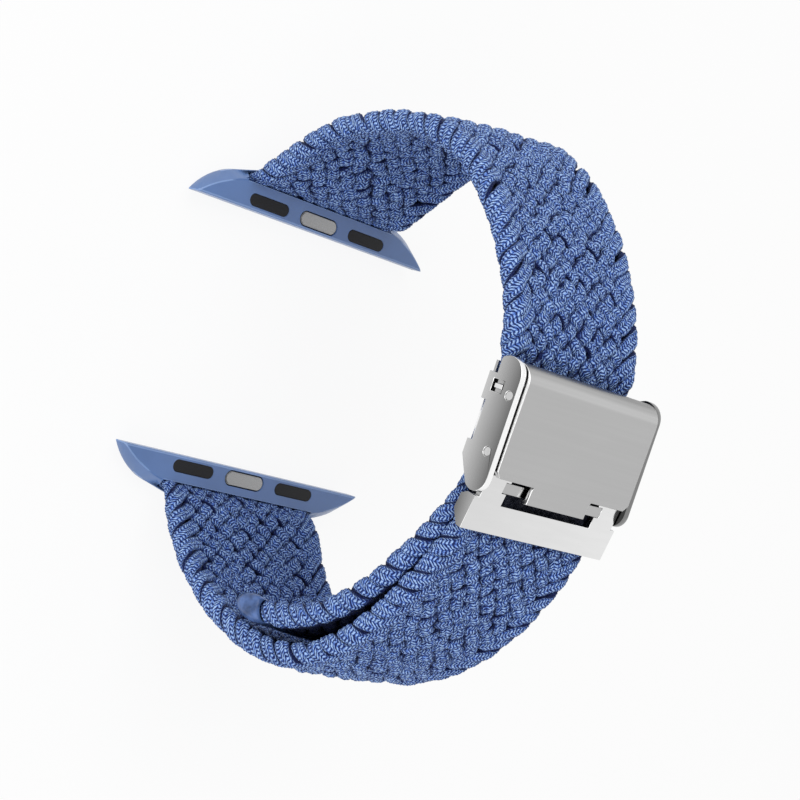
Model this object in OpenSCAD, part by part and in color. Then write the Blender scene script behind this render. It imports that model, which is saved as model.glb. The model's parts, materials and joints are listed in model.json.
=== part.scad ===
// Braided watch strap with a steel flap buckle, closed into its loop.
// It stands on its two lug adapters, with the buckle on top.
// X runs across the strap, +Y points to the half with the plain end, and Z is up.

/* [Loop] */
// Gap between the watch-side edges of the two adapters
watch_gap = 29.5; // [28:0.1:31]
// Reach of the upper half's outer face from the middle of the gap
upper_reach = 30.2; // [28.5:0.1:33]
// Reach of the lower half's outer face from the middle of the gap
lower_reach = 32.85; // [31.5:0.05:35]
// Height above the pad faces at which the upper half is widest
upper_belly_z = 22; // [18:0.5:25]
// Height above the pad faces at which the lower half is widest
lower_belly_z = 19.5; // [17:0.5:22]
// Height of the buckle frame's wrist side above the pad faces
buckle_height = 43.8; // [42:0.1:48]
// Place of the buckle's middle along the loop, from the middle of the gap
buckle_shift = -1.4; // [-2.5:0.1:0]
// Tilt of the buckle in its loop
buckle_tilt = 3.6; // [0:0.1:6]

/* [Strap] */
// Width of the braid at the adapters
strap_w = 23.6; // [22.5:0.1:24.5]
// How much narrower the braid is at the buckle
strap_narrowing = 3.3; // [0:0.1:4.5]
// How much each edge of the braid is pressed in where it enters the buckle
edge_press = 0.5; // [0:0.05:0.6]
// Length over which those edges are pressed in
edge_press_len = 6; // [4:0.5:10]
// Thickness of the relaxed braid
strap_t = 2.3; // [1.9:0.05:2.4]
// Thickness of the braid where a slot or a bar pinches it
pinched_t = 1.1; // [0.9:0.05:1.1]
// Length over which the braid swells to its full thickness beside a slot
swell_len = 2.6; // [2:0.1:4]
// Length over which the braid swells to its full thickness beside the crimp
crimp_swell_len = 1.85; // [1.5:0.05:3]
// Length over which the braid swells to its full thickness beside the strap bar
bar_swell_len = 8.4; // [8:0.1:12]
// Gap between the tail's free end and the layer that it lies on
tail_gap = 0.9; // [0.7:0.05:1.3]
// Height of the tail's free end above the pad faces
tail_end_z = 18.2; // [16:0.1:24]
// Wall of the moulded cap on the tail's free end
cap_wall = 0.4; // [0.25:0.05:0.6]
// Length of the tail that the cap covers
cap_len = 2.7; // [2:0.1:5]
// Thickness of the cap's closed end
cap_end_t = 0.7; // [0.5:0.1:1.2]

/* [Lug adapter] */
// Length of an adapter across the strap
adapter_len = 38; // [37:0.5:40]
// Depth of the flat face that carries the pads
pad_face_d = 3.2; // [3.1:0.05:3.6]
// Thickness of an adapter from its pad face to its outer face
adapter_t = 3; // [2.95:0.05:3.4]
// Run of the pad face's rounded corners along the adapter
face_corner_run = 7; // [6:0.5:8]
// Radius of the pad face's rounded corners
face_corner_r = 14; // [10:0.5:20]
// How far the adapter's waist stands out past its pad face
waist_out = 0.9; // [0.7:0.05:1.1]
// Depth of the middle of the waist under the pad face
waist_depth = 1.5; // [1.4:0.05:1.6]
// Height of the waist's upright band
waist_band = 0.5; // [0.3:0.05:0.7]
// Run of the waist's rounded corners along the adapter
waist_corner_run = 6.5; // [6:0.5:8]
// Radius of the waist's rounded corners
waist_corner_r = 8.7; // [8:0.1:12]
// Distance from an adapter's end to the shoulder that holds the strap
shoulder_end = 4; // [3:0.5:4.5]
// Run of the shoulder's rounded corners along the adapter
shoulder_corner_run = 6; // [5:0.5:7]
// Radius of the shoulder's rounded corners
shoulder_corner_r = 12; // [8:0.5:16]
// Inset of the outer face from an adapter's end
back_end = 2; // [1:0.5:3]
// Inset of the outer face from the watch side
back_inset = 0.5; // [0.3:0.05:0.6]
// Depth of the flat outer face
back_d = 3.6; // [3.4:0.05:3.8]
// Run of the outer face's rounded corners
back_corner_run = 6; // [5:0.5:7]
// Radius of the outer face's rounded corners
back_corner_r = 10; // [8:0.5:14]
// Bevel along the edge of the pad face
face_bevel = 0.2; // [0.1:0.05:0.3]
// Wall of the adapter outside the strap slot
slot_wall = 0.5; // [0.4:0.05:0.8]
// Depth of the strap pin under the pad face
pin_depth = 1.75; // [1.7:0.05:1.8]
// Diameter of the strap pin
pin_d = 0.6; // [0.5:0.05:0.65]
// Thickness of the braid's loop round the strap pin
loop_wall = 0.35; // [0.3:0.05:0.38]
// Length that the strap pin goes into the metal at each end
pin_seat = 1.2; // [0.8:0.1:1.6]
// Direction in which the strap leaves an adapter, above the pad face
exit_angle = 72; // [66:1:76]
// Place of the pads and the button, from the watch-side edge
pad_inset = 1.28; // [1.2:0.01:1.35]
// Spacing of the two pads and the button
pad_pitch = 8.1; // [7.5:0.1:9]
// Length of a rubber pad
pad_len = 6.2; // [5.5:0.1:6.6]
// Width of a rubber pad
pad_w = 1.5; // [1.2:0.05:1.8]
// Thickness of a rubber pad
pad_t = 0.8; // [0.5:0.1:1.2]
// Length of the lock button
button_len = 5.9; // [5:0.1:6.2]
// Width of the lock button
button_w = 1.6; // [1.3:0.05:1.65]
// Thickness of the lock button
button_t = 0.9; // [0.7:0.05:1]
// Length of the ledge that keeps each end of the button in its pocket
button_ledge = 0.45; // [0.25:0.05:0.6]
// Depth of that ledge under the pad face
ledge_depth = 0.4; // [0.3:0.05:0.5]
// Travel of the lock button
button_travel = 0.6; // [0.4:0.05:0.7]
// Height of the spring under the raised button
spring_len = 1.5; // [1.35:0.05:1.55]
// Wire of the button spring
spring_wire = 0.2; // [0.15:0.01:0.25]
// Mean diameter of the button spring
spring_d = 1.05; // [0.8:0.05:1.1]
// Coils of the button spring
spring_turns = 2; // [2:1:3]

/* [Buckle] */
// Gap between the braid and an ear
ear_gap = 0.75; // [0.7:0.05:1.5]
// Thickness of an ear and of the frame's floor
ear_t = 0.8; // [0.6:0.05:0.9]
// Height of the ears from the wrist side to their polished edge
ear_h = 4.3; // [4.25:0.05:4.5]
// Place of the centre of the ears' arch along the buckle
arch_y = 5; // [4.9:0.05:5.2]
// Radius of the ears' arch
arch_r = 2.05; // [1.9:0.05:2.2]
// Height of the step under the ears' arch
arch_step = 1.05; // [0.8:0.05:1.1]
// Radius of the corner at the foot of the arch
arch_foot_r = 0.45; // [0.3:0.05:0.5]
// Place of the centre of the ears' lower lobe along the buckle
lobe_y = -5.3; // [-5.4:0.05:-5.1]
// Radius of the ears' lower lobe
lobe_r = 1.55; // [1.4:0.05:1.6]
// Place of the lower end of the ears' straight wrist edge
ear_heel_y = -3.7; // [-4:0.05:-3.2]
// Radius of the bends between the floor and the ears
bend_r = 0.9; // [0.8:0.05:1.2]
// Length of the floor between the ears
floor_len = 4.2; // [2:0.1:4.4]
// Diameter of the two hinge pins
hinge_d = 0.9; // [0.7:0.05:0.95]
// Place of the cover's hinge pin along the buckle
cover_hinge_y = 3.2; // [3:0.05:3.3]
// Height of the cover's hinge pin
cover_hinge_z = 3.5; // [3.45:0.05:3.55]
// Place of the clamp plate's hinge pin along the buckle
clamp_hinge_y = -2.7; // [-2.8:0.05:-2.4]
// Height of the clamp plate's hinge pin
clamp_hinge_z = 3.1; // [3:0.05:3.15]
// Metal round a hinge pin in a cheek
cheek_ring = 0.25; // [0.2:0.05:0.3]
// Thickness of a cheek
cheek_t = 0.5; // [0.35:0.05:0.52]
// Thickness of the cover's sheet
cover_t = 0.6; // [0.4:0.05:0.62]
// Height of the cover's outer face at its curled end
cover_top = 4.75; // [4.7:0.05:5]
// Fall of the cover from its curled end to its lower edge
cover_fall = 0.2; // [0:0.05:0.2]
// Place of the cover's lower edge along the buckle
cover_edge_y = -4.9; // [-5:0.05:-4.7]
// Reach of the cover's curled end along the buckle
curl_y = 6.8; // [6.6:0.05:7]
// Outer radius of the cover's curled end
curl_r = 2.1; // [1.8:0.05:2.2]
// Width of the tongue on the cover
tongue_w = 9.4; // [7:0.1:11]
// Length of the tongue past the cover's lower edge
tongue_len = 1.9; // [1.8:0.05:2.1]
// Thickness of the tongue
tongue_t = 0.45; // [0.3:0.05:0.48]
// Depth of the hooked lip at the tongue's end
lip_drop = 0.4; // [0.2:0.05:0.5]
// Length of the clamp plate
plate_len = 6.9; // [6.6:0.1:7.2]
// Thickness of the clamp plate's sheet
plate_t = 0.7; // [0.5:0.05:0.72]
// Fall of the clamp plate away from the cover, in degrees
plate_slope = 9.5; // [9:0.1:10.5]
// How far the clamp plate's flanges lie inside the ears' outer faces
plate_inset = 0.25; // [0:0.05:0.4]
// Drop of the clamp plate's side flanges
flange_drop = 1.9; // [1.2:0.1:2.2]
// Width of the window in the clamp plate
window_w = 14.4; // [12:0.1:16]
// Length of the window in the clamp plate
window_len = 2.85; // [2.7:0.05:3]
// Width of the catch bar across the window
catch_w = 1.15; // [0.8:0.05:1.2]
// Thickness of the catch bar
catch_t = 0.5; // [0.4:0.05:0.55]
// Depth of the catch bar under the clamp plate's upper face
catch_sink = 0.07; // [0:0.01:0.1]
// Length that each end of the catch bar rests in the clamp plate
catch_seat = 0.7; // [0.4:0.05:0.9]
// Height of the teeth that grip the braid
tooth_h = 0.15; // [0.1:0.05:0.2]
// Number of toothed ridges
teeth = 2; // [1:1:2]
// Diameter of the bar that the lower half folds round
strap_bar_d = 0.8; // [0.6:0.05:0.85]
// Place of the strap bar along the buckle
strap_bar_y = -4.3; // [-4.4:0.05:-4.25]
// Height of the strap bar
strap_bar_z = 1.3; // [1.2:0.05:1.35]
// Height of the flat anchor bar's section
anchor_h = 1.2; // [0.8:0.05:1.2]
// Thickness of the flat anchor bar
anchor_t = 0.6; // [0.4:0.05:0.65]
// Place of the anchor bar along the buckle
anchor_y = 3.75; // [3.65:0.05:3.85]
// Height of the anchor bar
anchor_z = 1.65; // [1.6:0.05:1.7]
// Slack of the anchor bar's end in the ears' windows
window_slack = 0.7; // [0.3:0.05:0.75]
// Depth of the crimp's jaws under the middle of the anchor bar
crimp_drop = 2.1; // [2.05:0.05:2.3]
// Distance from the anchor bar to the back of the crimp's jaws
crimp_back_y = 0.55; // [0.45:0.05:0.6]
// Thickness of the crimp's sheet
crimp_t = 0.3; // [0.2:0.05:0.32]
// Length of the crimp's jaws
crimp_len = 1.9; // [1.5:0.1:2]
// Thickness of the braid inside the crimp
crimped_t = 0.7; // [0.5:0.05:0.8]

/* [Clearances] */
// Clearance of a pin in its hole, on the radius
pin_gap = 0.05; // [0.02:0.01:0.08]
// Clearance beside a moving cheek, cover or plate
side_gap = 0.15; // [0.1:0.01:0.2]
// Clearance of the braid in a slot and round a bar
braid_gap = 0.1; // [0.05:0.01:0.12]
// Clearance round the lock button
button_gap = 0.15; // [0.1:0.01:0.15]
// Clearance of a pad or a cap on what it sits on
seat_gap = 0.02; // [0.01:0.01:0.04]

/* [Hidden] */
$fn = 40;

enamel = [0.4, 0.49, 0.69];
braid_blue = [0.32, 0.45, 0.72];
rubber_black = [0.13, 0.13, 0.13];
steel = [0.72, 0.72, 0.72];
bright_steel = [0.86, 0.86, 0.87];
clear_blue = [0.4, 0.55, 0.85];

// Places that the pieces share. The loop's own frame has z = 0 on the pad faces.
mid_y = (upper_reach - lower_reach) / 2;
slot_w = pinched_t + 2 * braid_gap;
slot_half_u = slot_w / 2 / sin(exit_angle);
mouth_u = pad_face_d + slot_half_u;
pin_u = mouth_u - pin_depth / tan(exit_angle);
eye_r = pin_d / 2 + pin_gap + loop_wall;
shoulder_d = mouth_u + slot_half_u + slot_wall;
spring_floor = button_t + spring_len;
spring_bore_d = spring_d + spring_wire + 2 * button_gap;
strap_end_w = strap_w - strap_narrowing;
strap_end_z = buckle_height - 1;
ear_in = strap_end_w / 2 + ear_gap;
buckle_w = 2 * (ear_in + ear_t);
plate_w = buckle_w - 2 * plate_inset;
cover_half_w = ear_in - side_gap;
cheek_r = hinge_d / 2 + pin_gap + cheek_ring;
fold_r = strap_bar_d / 2 + pin_gap + pinched_t / 2;
crimp_z = anchor_z - crimp_drop;
crimp_mouth_y = anchor_y + crimp_back_y + crimp_len;
tail_pitch = strap_t + tail_gap;
// Depth by which joined shapes run into each other
merge = 0.1;

function unit(a) = [cos(a), sin(a)];
function arc(c, r, a0, a1, n) = [for (i = [0:n]) c + r * unit(a0 + (a1 - a0) * i / n)];
function reversed(v) = [for (i = [len(v) - 1:-1:0]) v[i]];
function but_first(v) = [for (i = [1:len(v) - 1]) v[i]];
function smooth(x) = let (c = max(0, min(1, x))) c * c * (3 - 2 * c);

// A cubic curve from a to b that leaves a at heading ha and meets b at heading hb
function cubic(a, ha, ka, b, hb, kb, n) =
    let (d = norm(b - a), p = a + ka * d * unit(ha), q = b - kb * d * unit(hb))
    [for (i = [0:n]) let (t = i / n, s = 1 - t)
        s * s * s * a + 3 * s * s * t * p + 3 * s * t * t * q + t * t * t * b];

// The outline of a band of given thickness at each point of its middle line
function heading(p, i) =
    let (d = p[min(i + 1, len(p) - 1)] - p[max(i - 1, 0)]) d / norm(d);
function edge(p, t, s) = [for (i = [0:len(p) - 1])
    let (d = heading(p, i)) p[i] + s * t[i] / 2 * [-d[1], d[0]]];
function band(p, t) = concat(edge(p, t, 1), reversed(edge(p, t, -1)));

// A point of the buckle's own frame, in the loop's frame
function from_buckle(p) = [buckle_shift, buckle_height]
    + p[0] * unit(buckle_tilt) + p[1] * unit(buckle_tilt + 90);

// How far each curve of the braid keeps to its end headings, as shares of its chord
upper_pull = [0.25, 0.53, 0.32, 0.26];
lower_pull = [0.09, 0.54, 0.355, 0.383];
tail_pull = [0.33, 0.39];

// Middle line of the upper half, from the adapter's pin to the crimp
upper_pin = [watch_gap / 2 + pin_u, -pin_depth];
upper_mouth = [watch_gap / 2 + mouth_u, 0];
upper_belly = [upper_reach - strap_t / 2, upper_belly_z];
crimp_mouth = from_buckle([crimp_mouth_y, crimp_z]);
crimp_back = from_buckle([crimp_mouth_y - crimp_len + crimp_t, crimp_z]);
upper_line = concat([upper_pin],
    cubic(upper_mouth, exit_angle, upper_pull[0], upper_belly, 90, upper_pull[1], 36),
    but_first(cubic(upper_belly, 90, upper_pull[2], crimp_mouth, 180 + buckle_tilt,
        upper_pull[3], 40)),
    [crimp_back]);
function upper_thick(p) =
    min(pinched_t + (strap_t - pinched_t) * smooth(norm(p - upper_mouth) / swell_len),
        crimped_t + (strap_t - crimped_t) * smooth(norm(p - crimp_mouth) / crimp_swell_len));
upper_t = [for (i = [0:len(upper_line) - 1])
    i == 0 ? pinched_t : i == len(upper_line) - 1 ? crimped_t : upper_thick(upper_line[i])];

// Middle line of the lower half: up to the strap bar, round it, and back as the tail
lower_pin = [-upper_pin[0], upper_pin[1]];
lower_mouth = [-upper_mouth[0], upper_mouth[1]];
lower_belly = [-(lower_reach - strap_t / 2), lower_belly_z];
// Its headings where it meets and leaves the strap bar, in the buckle's frame
bar_in = 9;
bar_out = -170;
strap_bar_at = from_buckle([strap_bar_y, strap_bar_z]);
fold_from = 90 + bar_in + buckle_tilt;
fold_to = 90 + bar_out + buckle_tilt;
fold = arc(strap_bar_at, fold_r, fold_from, fold_to, 16);
tail_end = [lower_belly[0] + tail_pitch, tail_end_z];
tail_heading = -98;
tail_line = cubic(fold[16], bar_out + buckle_tilt, tail_pull[0], tail_end, tail_heading,
    tail_pull[1], 36);
lower_line = concat([lower_pin],
    cubic(lower_mouth, 180 - exit_angle, lower_pull[0], lower_belly, 90, lower_pull[1], 36),
    but_first(cubic(lower_belly, 90, lower_pull[2], fold[0], bar_in + buckle_tilt,
        lower_pull[3], 44)),
    but_first(fold), but_first(tail_line));
function lower_thick(p) = pinched_t + (strap_t - pinched_t)
    * min(smooth(norm(p - lower_mouth) / swell_len),
        smooth((norm(p - strap_bar_at) - fold_r) / bar_swell_len));
lower_t = [for (i = [0:len(lower_line) - 1]) i == 0 ? pinched_t : lower_thick(lower_line[i])];

// The clamp plate's own frame starts at its upper edge. These are places along the plate.
plate_at = [-3.95, 3.87];
shoulder_y = -3.35;
window_y = -0.9;
catch_y = -1.28;
catch_half_len = window_w / 2 + catch_seat;
catch_floor = catch_sink + catch_t + seat_gap;

module along_x(width) {
    rotate([90, 0, 90])
        linear_extrude(width, center = true)
            children();
}

module in_loop() {
    translate([0, -mid_y, adapter_t])
        children();
}

module in_buckle() {
    in_loop()
        translate([0, buckle_shift, buckle_height])
            rotate([buckle_tilt, 0, 0])
                children();
}

// Puts what is drawn for the upper adapter at either end of the strap
module at_adapter(lower) {
    in_loop()
        mirror([0, lower ? 1 : 0, 0])
            translate([0, watch_gap / 2, 0])
                children();
}

module stadium(length, width) {
    square([length - width, width], center = true);
    for (s = [-1, 1])
        translate([s * (length - width) / 2, 0])
            circle(width / 2);
}

// Plan of one level of the adapter: a straight watch side and rounded far corners
module lug_plan(length, depth, setback, r) {
    p = [length / 2, 0];
    q = [length / 2 - setback, depth];
    chord = norm(q - p);
    c = (p + q) / 2 + sqrt(r * r - chord * chord / 4) * [-depth, -setback] / chord;
    a0 = atan2(p[1] - c[1], p[0] - c[0]);
    a1 = atan2(q[1] - c[1], q[0] - c[0]);
    corner = arc(c, r, a0, a1, 10);
    polygon(concat(corner, reversed([for (v = corner) [-v[0], v[1]]])));
}

// The adapter swells from its pad face to a wider waist, then rounds to its outer face
module lug_body() {
    sheet = 0.02;
    face_inset = 2 * face_bevel;
    waist_low = -waist_depth - waist_band / 2;
    hull() {
        translate([0, face_bevel, -sheet])
            linear_extrude(sheet)
                lug_plan(adapter_len - 2 * face_inset, pad_face_d - face_bevel,
                    face_corner_run, face_corner_r);
        translate([0, 0, -face_bevel])
            linear_extrude(sheet)
                lug_plan(adapter_len, pad_face_d + face_bevel, face_corner_run, face_corner_r);
        translate([0, 0, waist_low])
            linear_extrude(waist_band)
                lug_plan(adapter_len, pad_face_d + waist_out, waist_corner_run, waist_corner_r);
        translate([0, 0, waist_low])
            linear_extrude(waist_band)
                lug_plan(adapter_len - 2 * shoulder_end, shoulder_d,
                    shoulder_corner_run, shoulder_corner_r);
        translate([0, back_inset, -adapter_t])
            linear_extrude(sheet)
                lug_plan(adapter_len - 2 * back_end, back_d, back_corner_run, back_corner_r);
    }
}

module strap_slot() {
    translate([0, pin_u, -pin_depth]) {
        along_x(strap_w + 2 * braid_gap)
            rotate(exit_angle - 90)
                translate([-slot_w / 2, 0])
                    square([slot_w, 2 * adapter_t]);
        rotate([0, 90, 0])
            cylinder(r = eye_r + braid_gap, h = strap_w + 2 * braid_gap, center = true);
        rotate([0, 90, 0])
            cylinder(d = pin_d + 2 * pin_gap, h = strap_w + 2 * pin_seat, center = true);
    }
}

module lug_adapter() {
    color(enamel)
        difference() {
            lug_body();
            strap_slot();
            for (s = [-1, 1])
                translate([s * pad_pitch, pad_inset, -pad_t])
                    linear_extrude(adapter_t)
                        stadium(pad_len, pad_w);
            translate([0, pad_inset, -adapter_t / 2])
                linear_extrude(adapter_t)
                    stadium(button_len + 2 * button_gap, button_w + 2 * button_gap);
            translate([0, pad_inset, -button_t - button_travel])
                linear_extrude(button_t + button_travel - ledge_depth)
                    stadium(button_len + 2 * (button_ledge + button_gap), button_w + 2 * button_gap);
            translate([0, pad_inset, -spring_floor])
                cylinder(d = spring_bore_d, h = spring_len);
        }
}

module rubber_pad(side) {
    color(rubber_black)
        translate([side * pad_pitch, pad_inset, -pad_t])
            linear_extrude(pad_t)
                stadium(pad_len - 2 * seat_gap, pad_w - 2 * seat_gap);
}

// The button's face is flush, its rim is stepped, and its ends catch under the ledges
module lock_button() {
    crown = 0.1;
    color(steel)
        translate([0, pad_inset, -button_t]) {
            linear_extrude(button_t - crown)
                stadium(button_len, button_w);
            linear_extrude(button_t)
                stadium(button_len - 2 * crown, button_w - 2 * crown);
            linear_extrude(button_t - ledge_depth - pin_gap)
                stadium(button_len + 2 * button_ledge, button_w);
        }
}

// One unbroken coil of round wire
module coil(mean_d, wire, height, turns) {
    rings = 10 * turns;
    sides = 6;
    rise = height - wire;
    function spot(i, j) =
        let (a = 360 * turns * i / rings, b = 360 * j / sides, r = (mean_d + wire * cos(b)) / 2)
        [r * cos(a), r * sin(a), wire / 2 + rise * i / rings + wire / 2 * sin(b)];
    spots = [for (i = [0:rings], j = [0:sides - 1]) spot(i, j)];
    start = [for (j = [0:sides - 1]) j];
    end = [for (j = [sides - 1:-1:0]) rings * sides + j];
    walls = [for (i = [0:rings - 1], j = [0:sides - 1], k = [0, 1])
        let (a = i * sides + j, b = i * sides + (j + 1) % sides)
        k == 0 ? [a, a + sides, b + sides] : [a, b + sides, b]];
    polyhedron(concat(spots), concat([start, end], walls), convexity = 6);
}

module button_spring() {
    play = 0.02;
    color(steel)
        translate([0, pad_inset, -spring_floor + play])
            coil(spring_d, spring_wire, spring_len - 2 * play, spring_turns);
}

module strap_pin() {
    end_play = 0.1;
    color(steel)
        translate([0, pin_u, -pin_depth])
            rotate([0, 90, 0])
                cylinder(d = pin_d, h = strap_w + 2 * (pin_seat - end_play), center = true);
}

// The braid narrows evenly from the adapters up, and more where it enters the buckle
module strap_taper(extra) {
    a = strap_w / 2 + extra;
    b = strap_end_w / 2 + extra;
    c = b + edge_press;
    far = 2 * (upper_reach + lower_reach);
    side = [[a, -far], [a, 0], [c, strap_end_z - edge_press_len], [b, strap_end_z], [b, far]];
    rotate([90, 0, 0])
        linear_extrude(far, center = true)
            polygon(concat(side, reversed([for (v = side) [-v[0], v[1]]])));
}

module strap_solid(line, thick, pin_at) {
    color(braid_blue)
        in_loop()
            intersection() {
                difference() {
                    union() {
                        along_x(2 * strap_w)
                            polygon(band(line, thick));
                        translate([0, pin_at[0], pin_at[1]])
                            rotate([0, 90, 0])
                                cylinder(r = eye_r, h = 2 * strap_w, center = true);
                    }
                    translate([0, pin_at[0], pin_at[1]])
                        rotate([0, 90, 0])
                            cylinder(r = pin_d / 2 + pin_gap, h = 3 * strap_w, center = true);
                }
                strap_taper(0);
            }
}

module upper_strap() {
    strap_solid(upper_line, upper_t, upper_pin);
}

module lower_strap() {
    strap_solid(lower_line, lower_t, lower_pin);
}

// A folded strip: its loop turns round the anchor bar, and its jaws grip the braid's end
module strap_end_crimp() {
    eye_in = norm([anchor_t, anchor_h]) / 2 + pin_gap;
    eye_out = eye_in + crimp_t;
    jaw_gap = crimped_t / 2 + seat_gap;
    jaw_out = jaw_gap + crimp_t;
    back_y = anchor_y + crimp_back_y;
    neck = [anchor_y, anchor_z] + eye_out * unit(-165);
    nape = [anchor_y, anchor_z] + eye_out * unit(-40);
    color(steel)
        in_buckle()
            along_x(strap_end_w - 2 * side_gap)
                difference() {
                    union() {
                        translate([anchor_y, anchor_z])
                            circle(eye_out);
                        polygon([neck, [neck[0] + crimp_t, crimp_z + jaw_gap],
                            [back_y, crimp_z - jaw_out], [crimp_mouth_y, crimp_z - jaw_out],
                            [crimp_mouth_y, crimp_z + jaw_out], [nape[0], crimp_z + jaw_out], nape]);
                    }
                    translate([anchor_y, anchor_z])
                        circle(eye_in);
                    translate([back_y + crimp_t / 2, crimp_z - jaw_gap])
                        square([crimp_len, 2 * jaw_gap]);
                }
}

module tail_end_cap() {
    last = [for (p = tail_line) if (norm(p - tail_end) < cap_len) p];
    tip = tail_end + cap_end_t * unit(tail_heading);
    cap_line = concat(last, [tip]);
    cap_t = [for (p = cap_line) lower_thick(p) + 2 * cap_wall];
    bore_line = concat([last[0] - unit(tail_heading)], last);
    bore_t = [for (p = bore_line) lower_thick(p) + 2 * seat_gap];
    color(clear_blue)
        in_loop()
            difference() {
                intersection() {
                    along_x(2 * strap_w)
                        polygon(band(cap_line, cap_t));
                    strap_taper(cap_wall);
                }
                intersection() {
                    along_x(2 * strap_w)
                        polygon(band(bore_line, bore_t));
                    strap_taper(seat_gap);
                }
            }
}

// Outline of an ear: an arch at the upper end and a round lobe at the lower one
module ear_outline() {
    arch = [arch_y, ear_h - arch_r];
    lobe = [lobe_y, ear_h - lobe_r];
    foot_inset = 0.2;
    foot = [arch_y + arch_r - arch_foot_r - foot_inset, arch_step + arch_foot_r];
    polygon(concat(arc(lobe, lobe_r, 90, 228, 12),
        [[ear_heel_y, 0], [arch_y, 0], [arch_y, arch_step]],
        arc(foot, arch_foot_r, -90, -20, 4), arc(arch, arch_r, -8, 90, 10)));
}

module ear_windows() {
    translate([cover_hinge_y, cover_hinge_z])
        circle(hinge_d / 2 + pin_gap);
    translate([clamp_hinge_y, clamp_hinge_z])
        circle(hinge_d / 2 + pin_gap);
    translate([anchor_y, anchor_z])
        square([anchor_t + window_slack, anchor_h + window_slack / 2], center = true);
}

// One sheet of steel: a floor on the wrist side, and an ear bent up at each end of it
module buckle_frame() {
    bend = bend_r;
    spill = 0.01;
    color(bright_steel)
        in_buckle()
            difference() {
                union() {
                    for (s = [-1, 1])
                        translate([s * (buckle_w - ear_t) / 2, 0, 0])
                            along_x(ear_t)
                                difference() {
                                    ear_outline();
                                    ear_windows();
                                }
                    translate([-buckle_w / 2, -floor_len / 2, 0])
                        cube([buckle_w, floor_len, ear_t]);
                }
                for (s = [-1, 1])
                    translate([s * (buckle_w / 2 - bend), 0, bend])
                        rotate([90, 0, 0])
                            difference() {
                                translate([s * bend / 2, -bend / 2, 0])
                                    cube([bend + spill, bend + spill, floor_len + 2 * spill], center = true);
                                cylinder(r = bend, h = floor_len + 1, center = true);
                            }
                translate([0, strap_bar_y, strap_bar_z])
                    rotate([0, 90, 0])
                        cylinder(d = strap_bar_d + 2 * pin_gap, h = 2 * ear_in + ear_t, center = true);
            }
}

module anchor_bar() {
    tenon = 0.1;
    end_inset = 0.15;
    color(bright_steel)
        in_buckle()
            translate([0, anchor_y, anchor_z]) {
                cube([2 * (ear_in - pin_gap), anchor_t, anchor_h], center = true);
                cube([buckle_w - 2 * end_inset, anchor_t - tenon, anchor_h - tenon], center = true);
            }
}

module hinge_pin(y, z) {
    end_inset = 0.1;
    color(bright_steel)
        in_buckle()
            translate([0, y, z])
                rotate([0, 90, 0])
                    cylinder(d = hinge_d, h = buckle_w - 2 * end_inset, center = true);
}

module strap_bar() {
    color(steel)
        in_buckle()
            translate([0, strap_bar_y, strap_bar_z])
                rotate([0, 90, 0])
                    cylinder(d = strap_bar_d, h = 2 * (ear_in - pin_gap) + ear_t, center = true);
}

// The cover's section: a curled end, the long face, and the tongue with its hooked lip
module cover_section(with_tongue) {
    c = [curl_y - curl_r, cover_top - curl_r];
    low = cover_top - cover_fall;
    lip_y = cover_edge_y - tongue_len;
    lip_len = 0.35;
    curl_rim = 0.15;
    root = 0.6;
    sink = 0.35;
    bend_outside = [cover_edge_y - 0.35, low - 0.2];
    bend_inside = [cover_edge_y - 0.25, low - 0.2 - tongue_t];
    tongue_in = low - sink - tongue_t;
    curl_end = [curl_y, c[1] - curl_rim];
    face = concat([curl_end], arc(c, curl_r, 0, 90, 14), [[cover_edge_y, low]]);
    back = concat([[cover_edge_y, low - cover_t]], reversed(arc(c, curl_r - cover_t, 0, 90, 14)),
        [curl_end - [cover_t, 0]]);
    if (with_tongue)
        polygon([[cover_edge_y + root, low], [cover_edge_y, low], bend_outside,
            [lip_y, low - sink], [lip_y, tongue_in - lip_drop],
            [lip_y + lip_len, tongue_in - lip_drop], [lip_y + lip_len, tongue_in],
            bend_inside, [cover_edge_y + root, low - cover_t]]);
    else
        polygon(concat(face, back));
}

module buckle_cover() {
    corner = 0.9;
    spread = [0.9, 0.7];
    color(steel)
        in_buckle()
            difference() {
                union() {
                    along_x(2 * cover_half_w)
                        cover_section(false);
                    along_x(tongue_w)
                        cover_section(true);
                    for (s = [-1, 1])
                        translate([s * (cover_half_w - cheek_t / 2), 0, 0])
                            along_x(cheek_t) {
                                translate([cover_hinge_y, cover_hinge_z])
                                    circle(cheek_r);
                                polygon([[cover_hinge_y - cheek_r, cover_hinge_z],
                                    [cover_hinge_y + cheek_r, cover_hinge_z],
                                    [cover_hinge_y + cheek_r + spread[1], cover_top - cover_t + merge],
                                    [cover_hinge_y - cheek_r - spread[0], cover_top - cover_t]]);
                            }
                }
                translate([0, cover_hinge_y, cover_hinge_z])
                    rotate([0, 90, 0])
                        cylinder(d = hinge_d + 2 * pin_gap, h = buckle_w, center = true);
                for (s = [-1, 1])
                    translate([s * cover_half_w, cover_edge_y, 0])
                        rotate([0, 0, 45])
                            cube([corner, corner, 4 * ear_h], center = true);
            }
}

// In the clamp plate's own frame, z = 0 is its upper face
module on_plate() {
    translate([0, plate_at[0], plate_at[1]])
        rotate([plate_slope, 0, 0])
            children();
}

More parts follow.
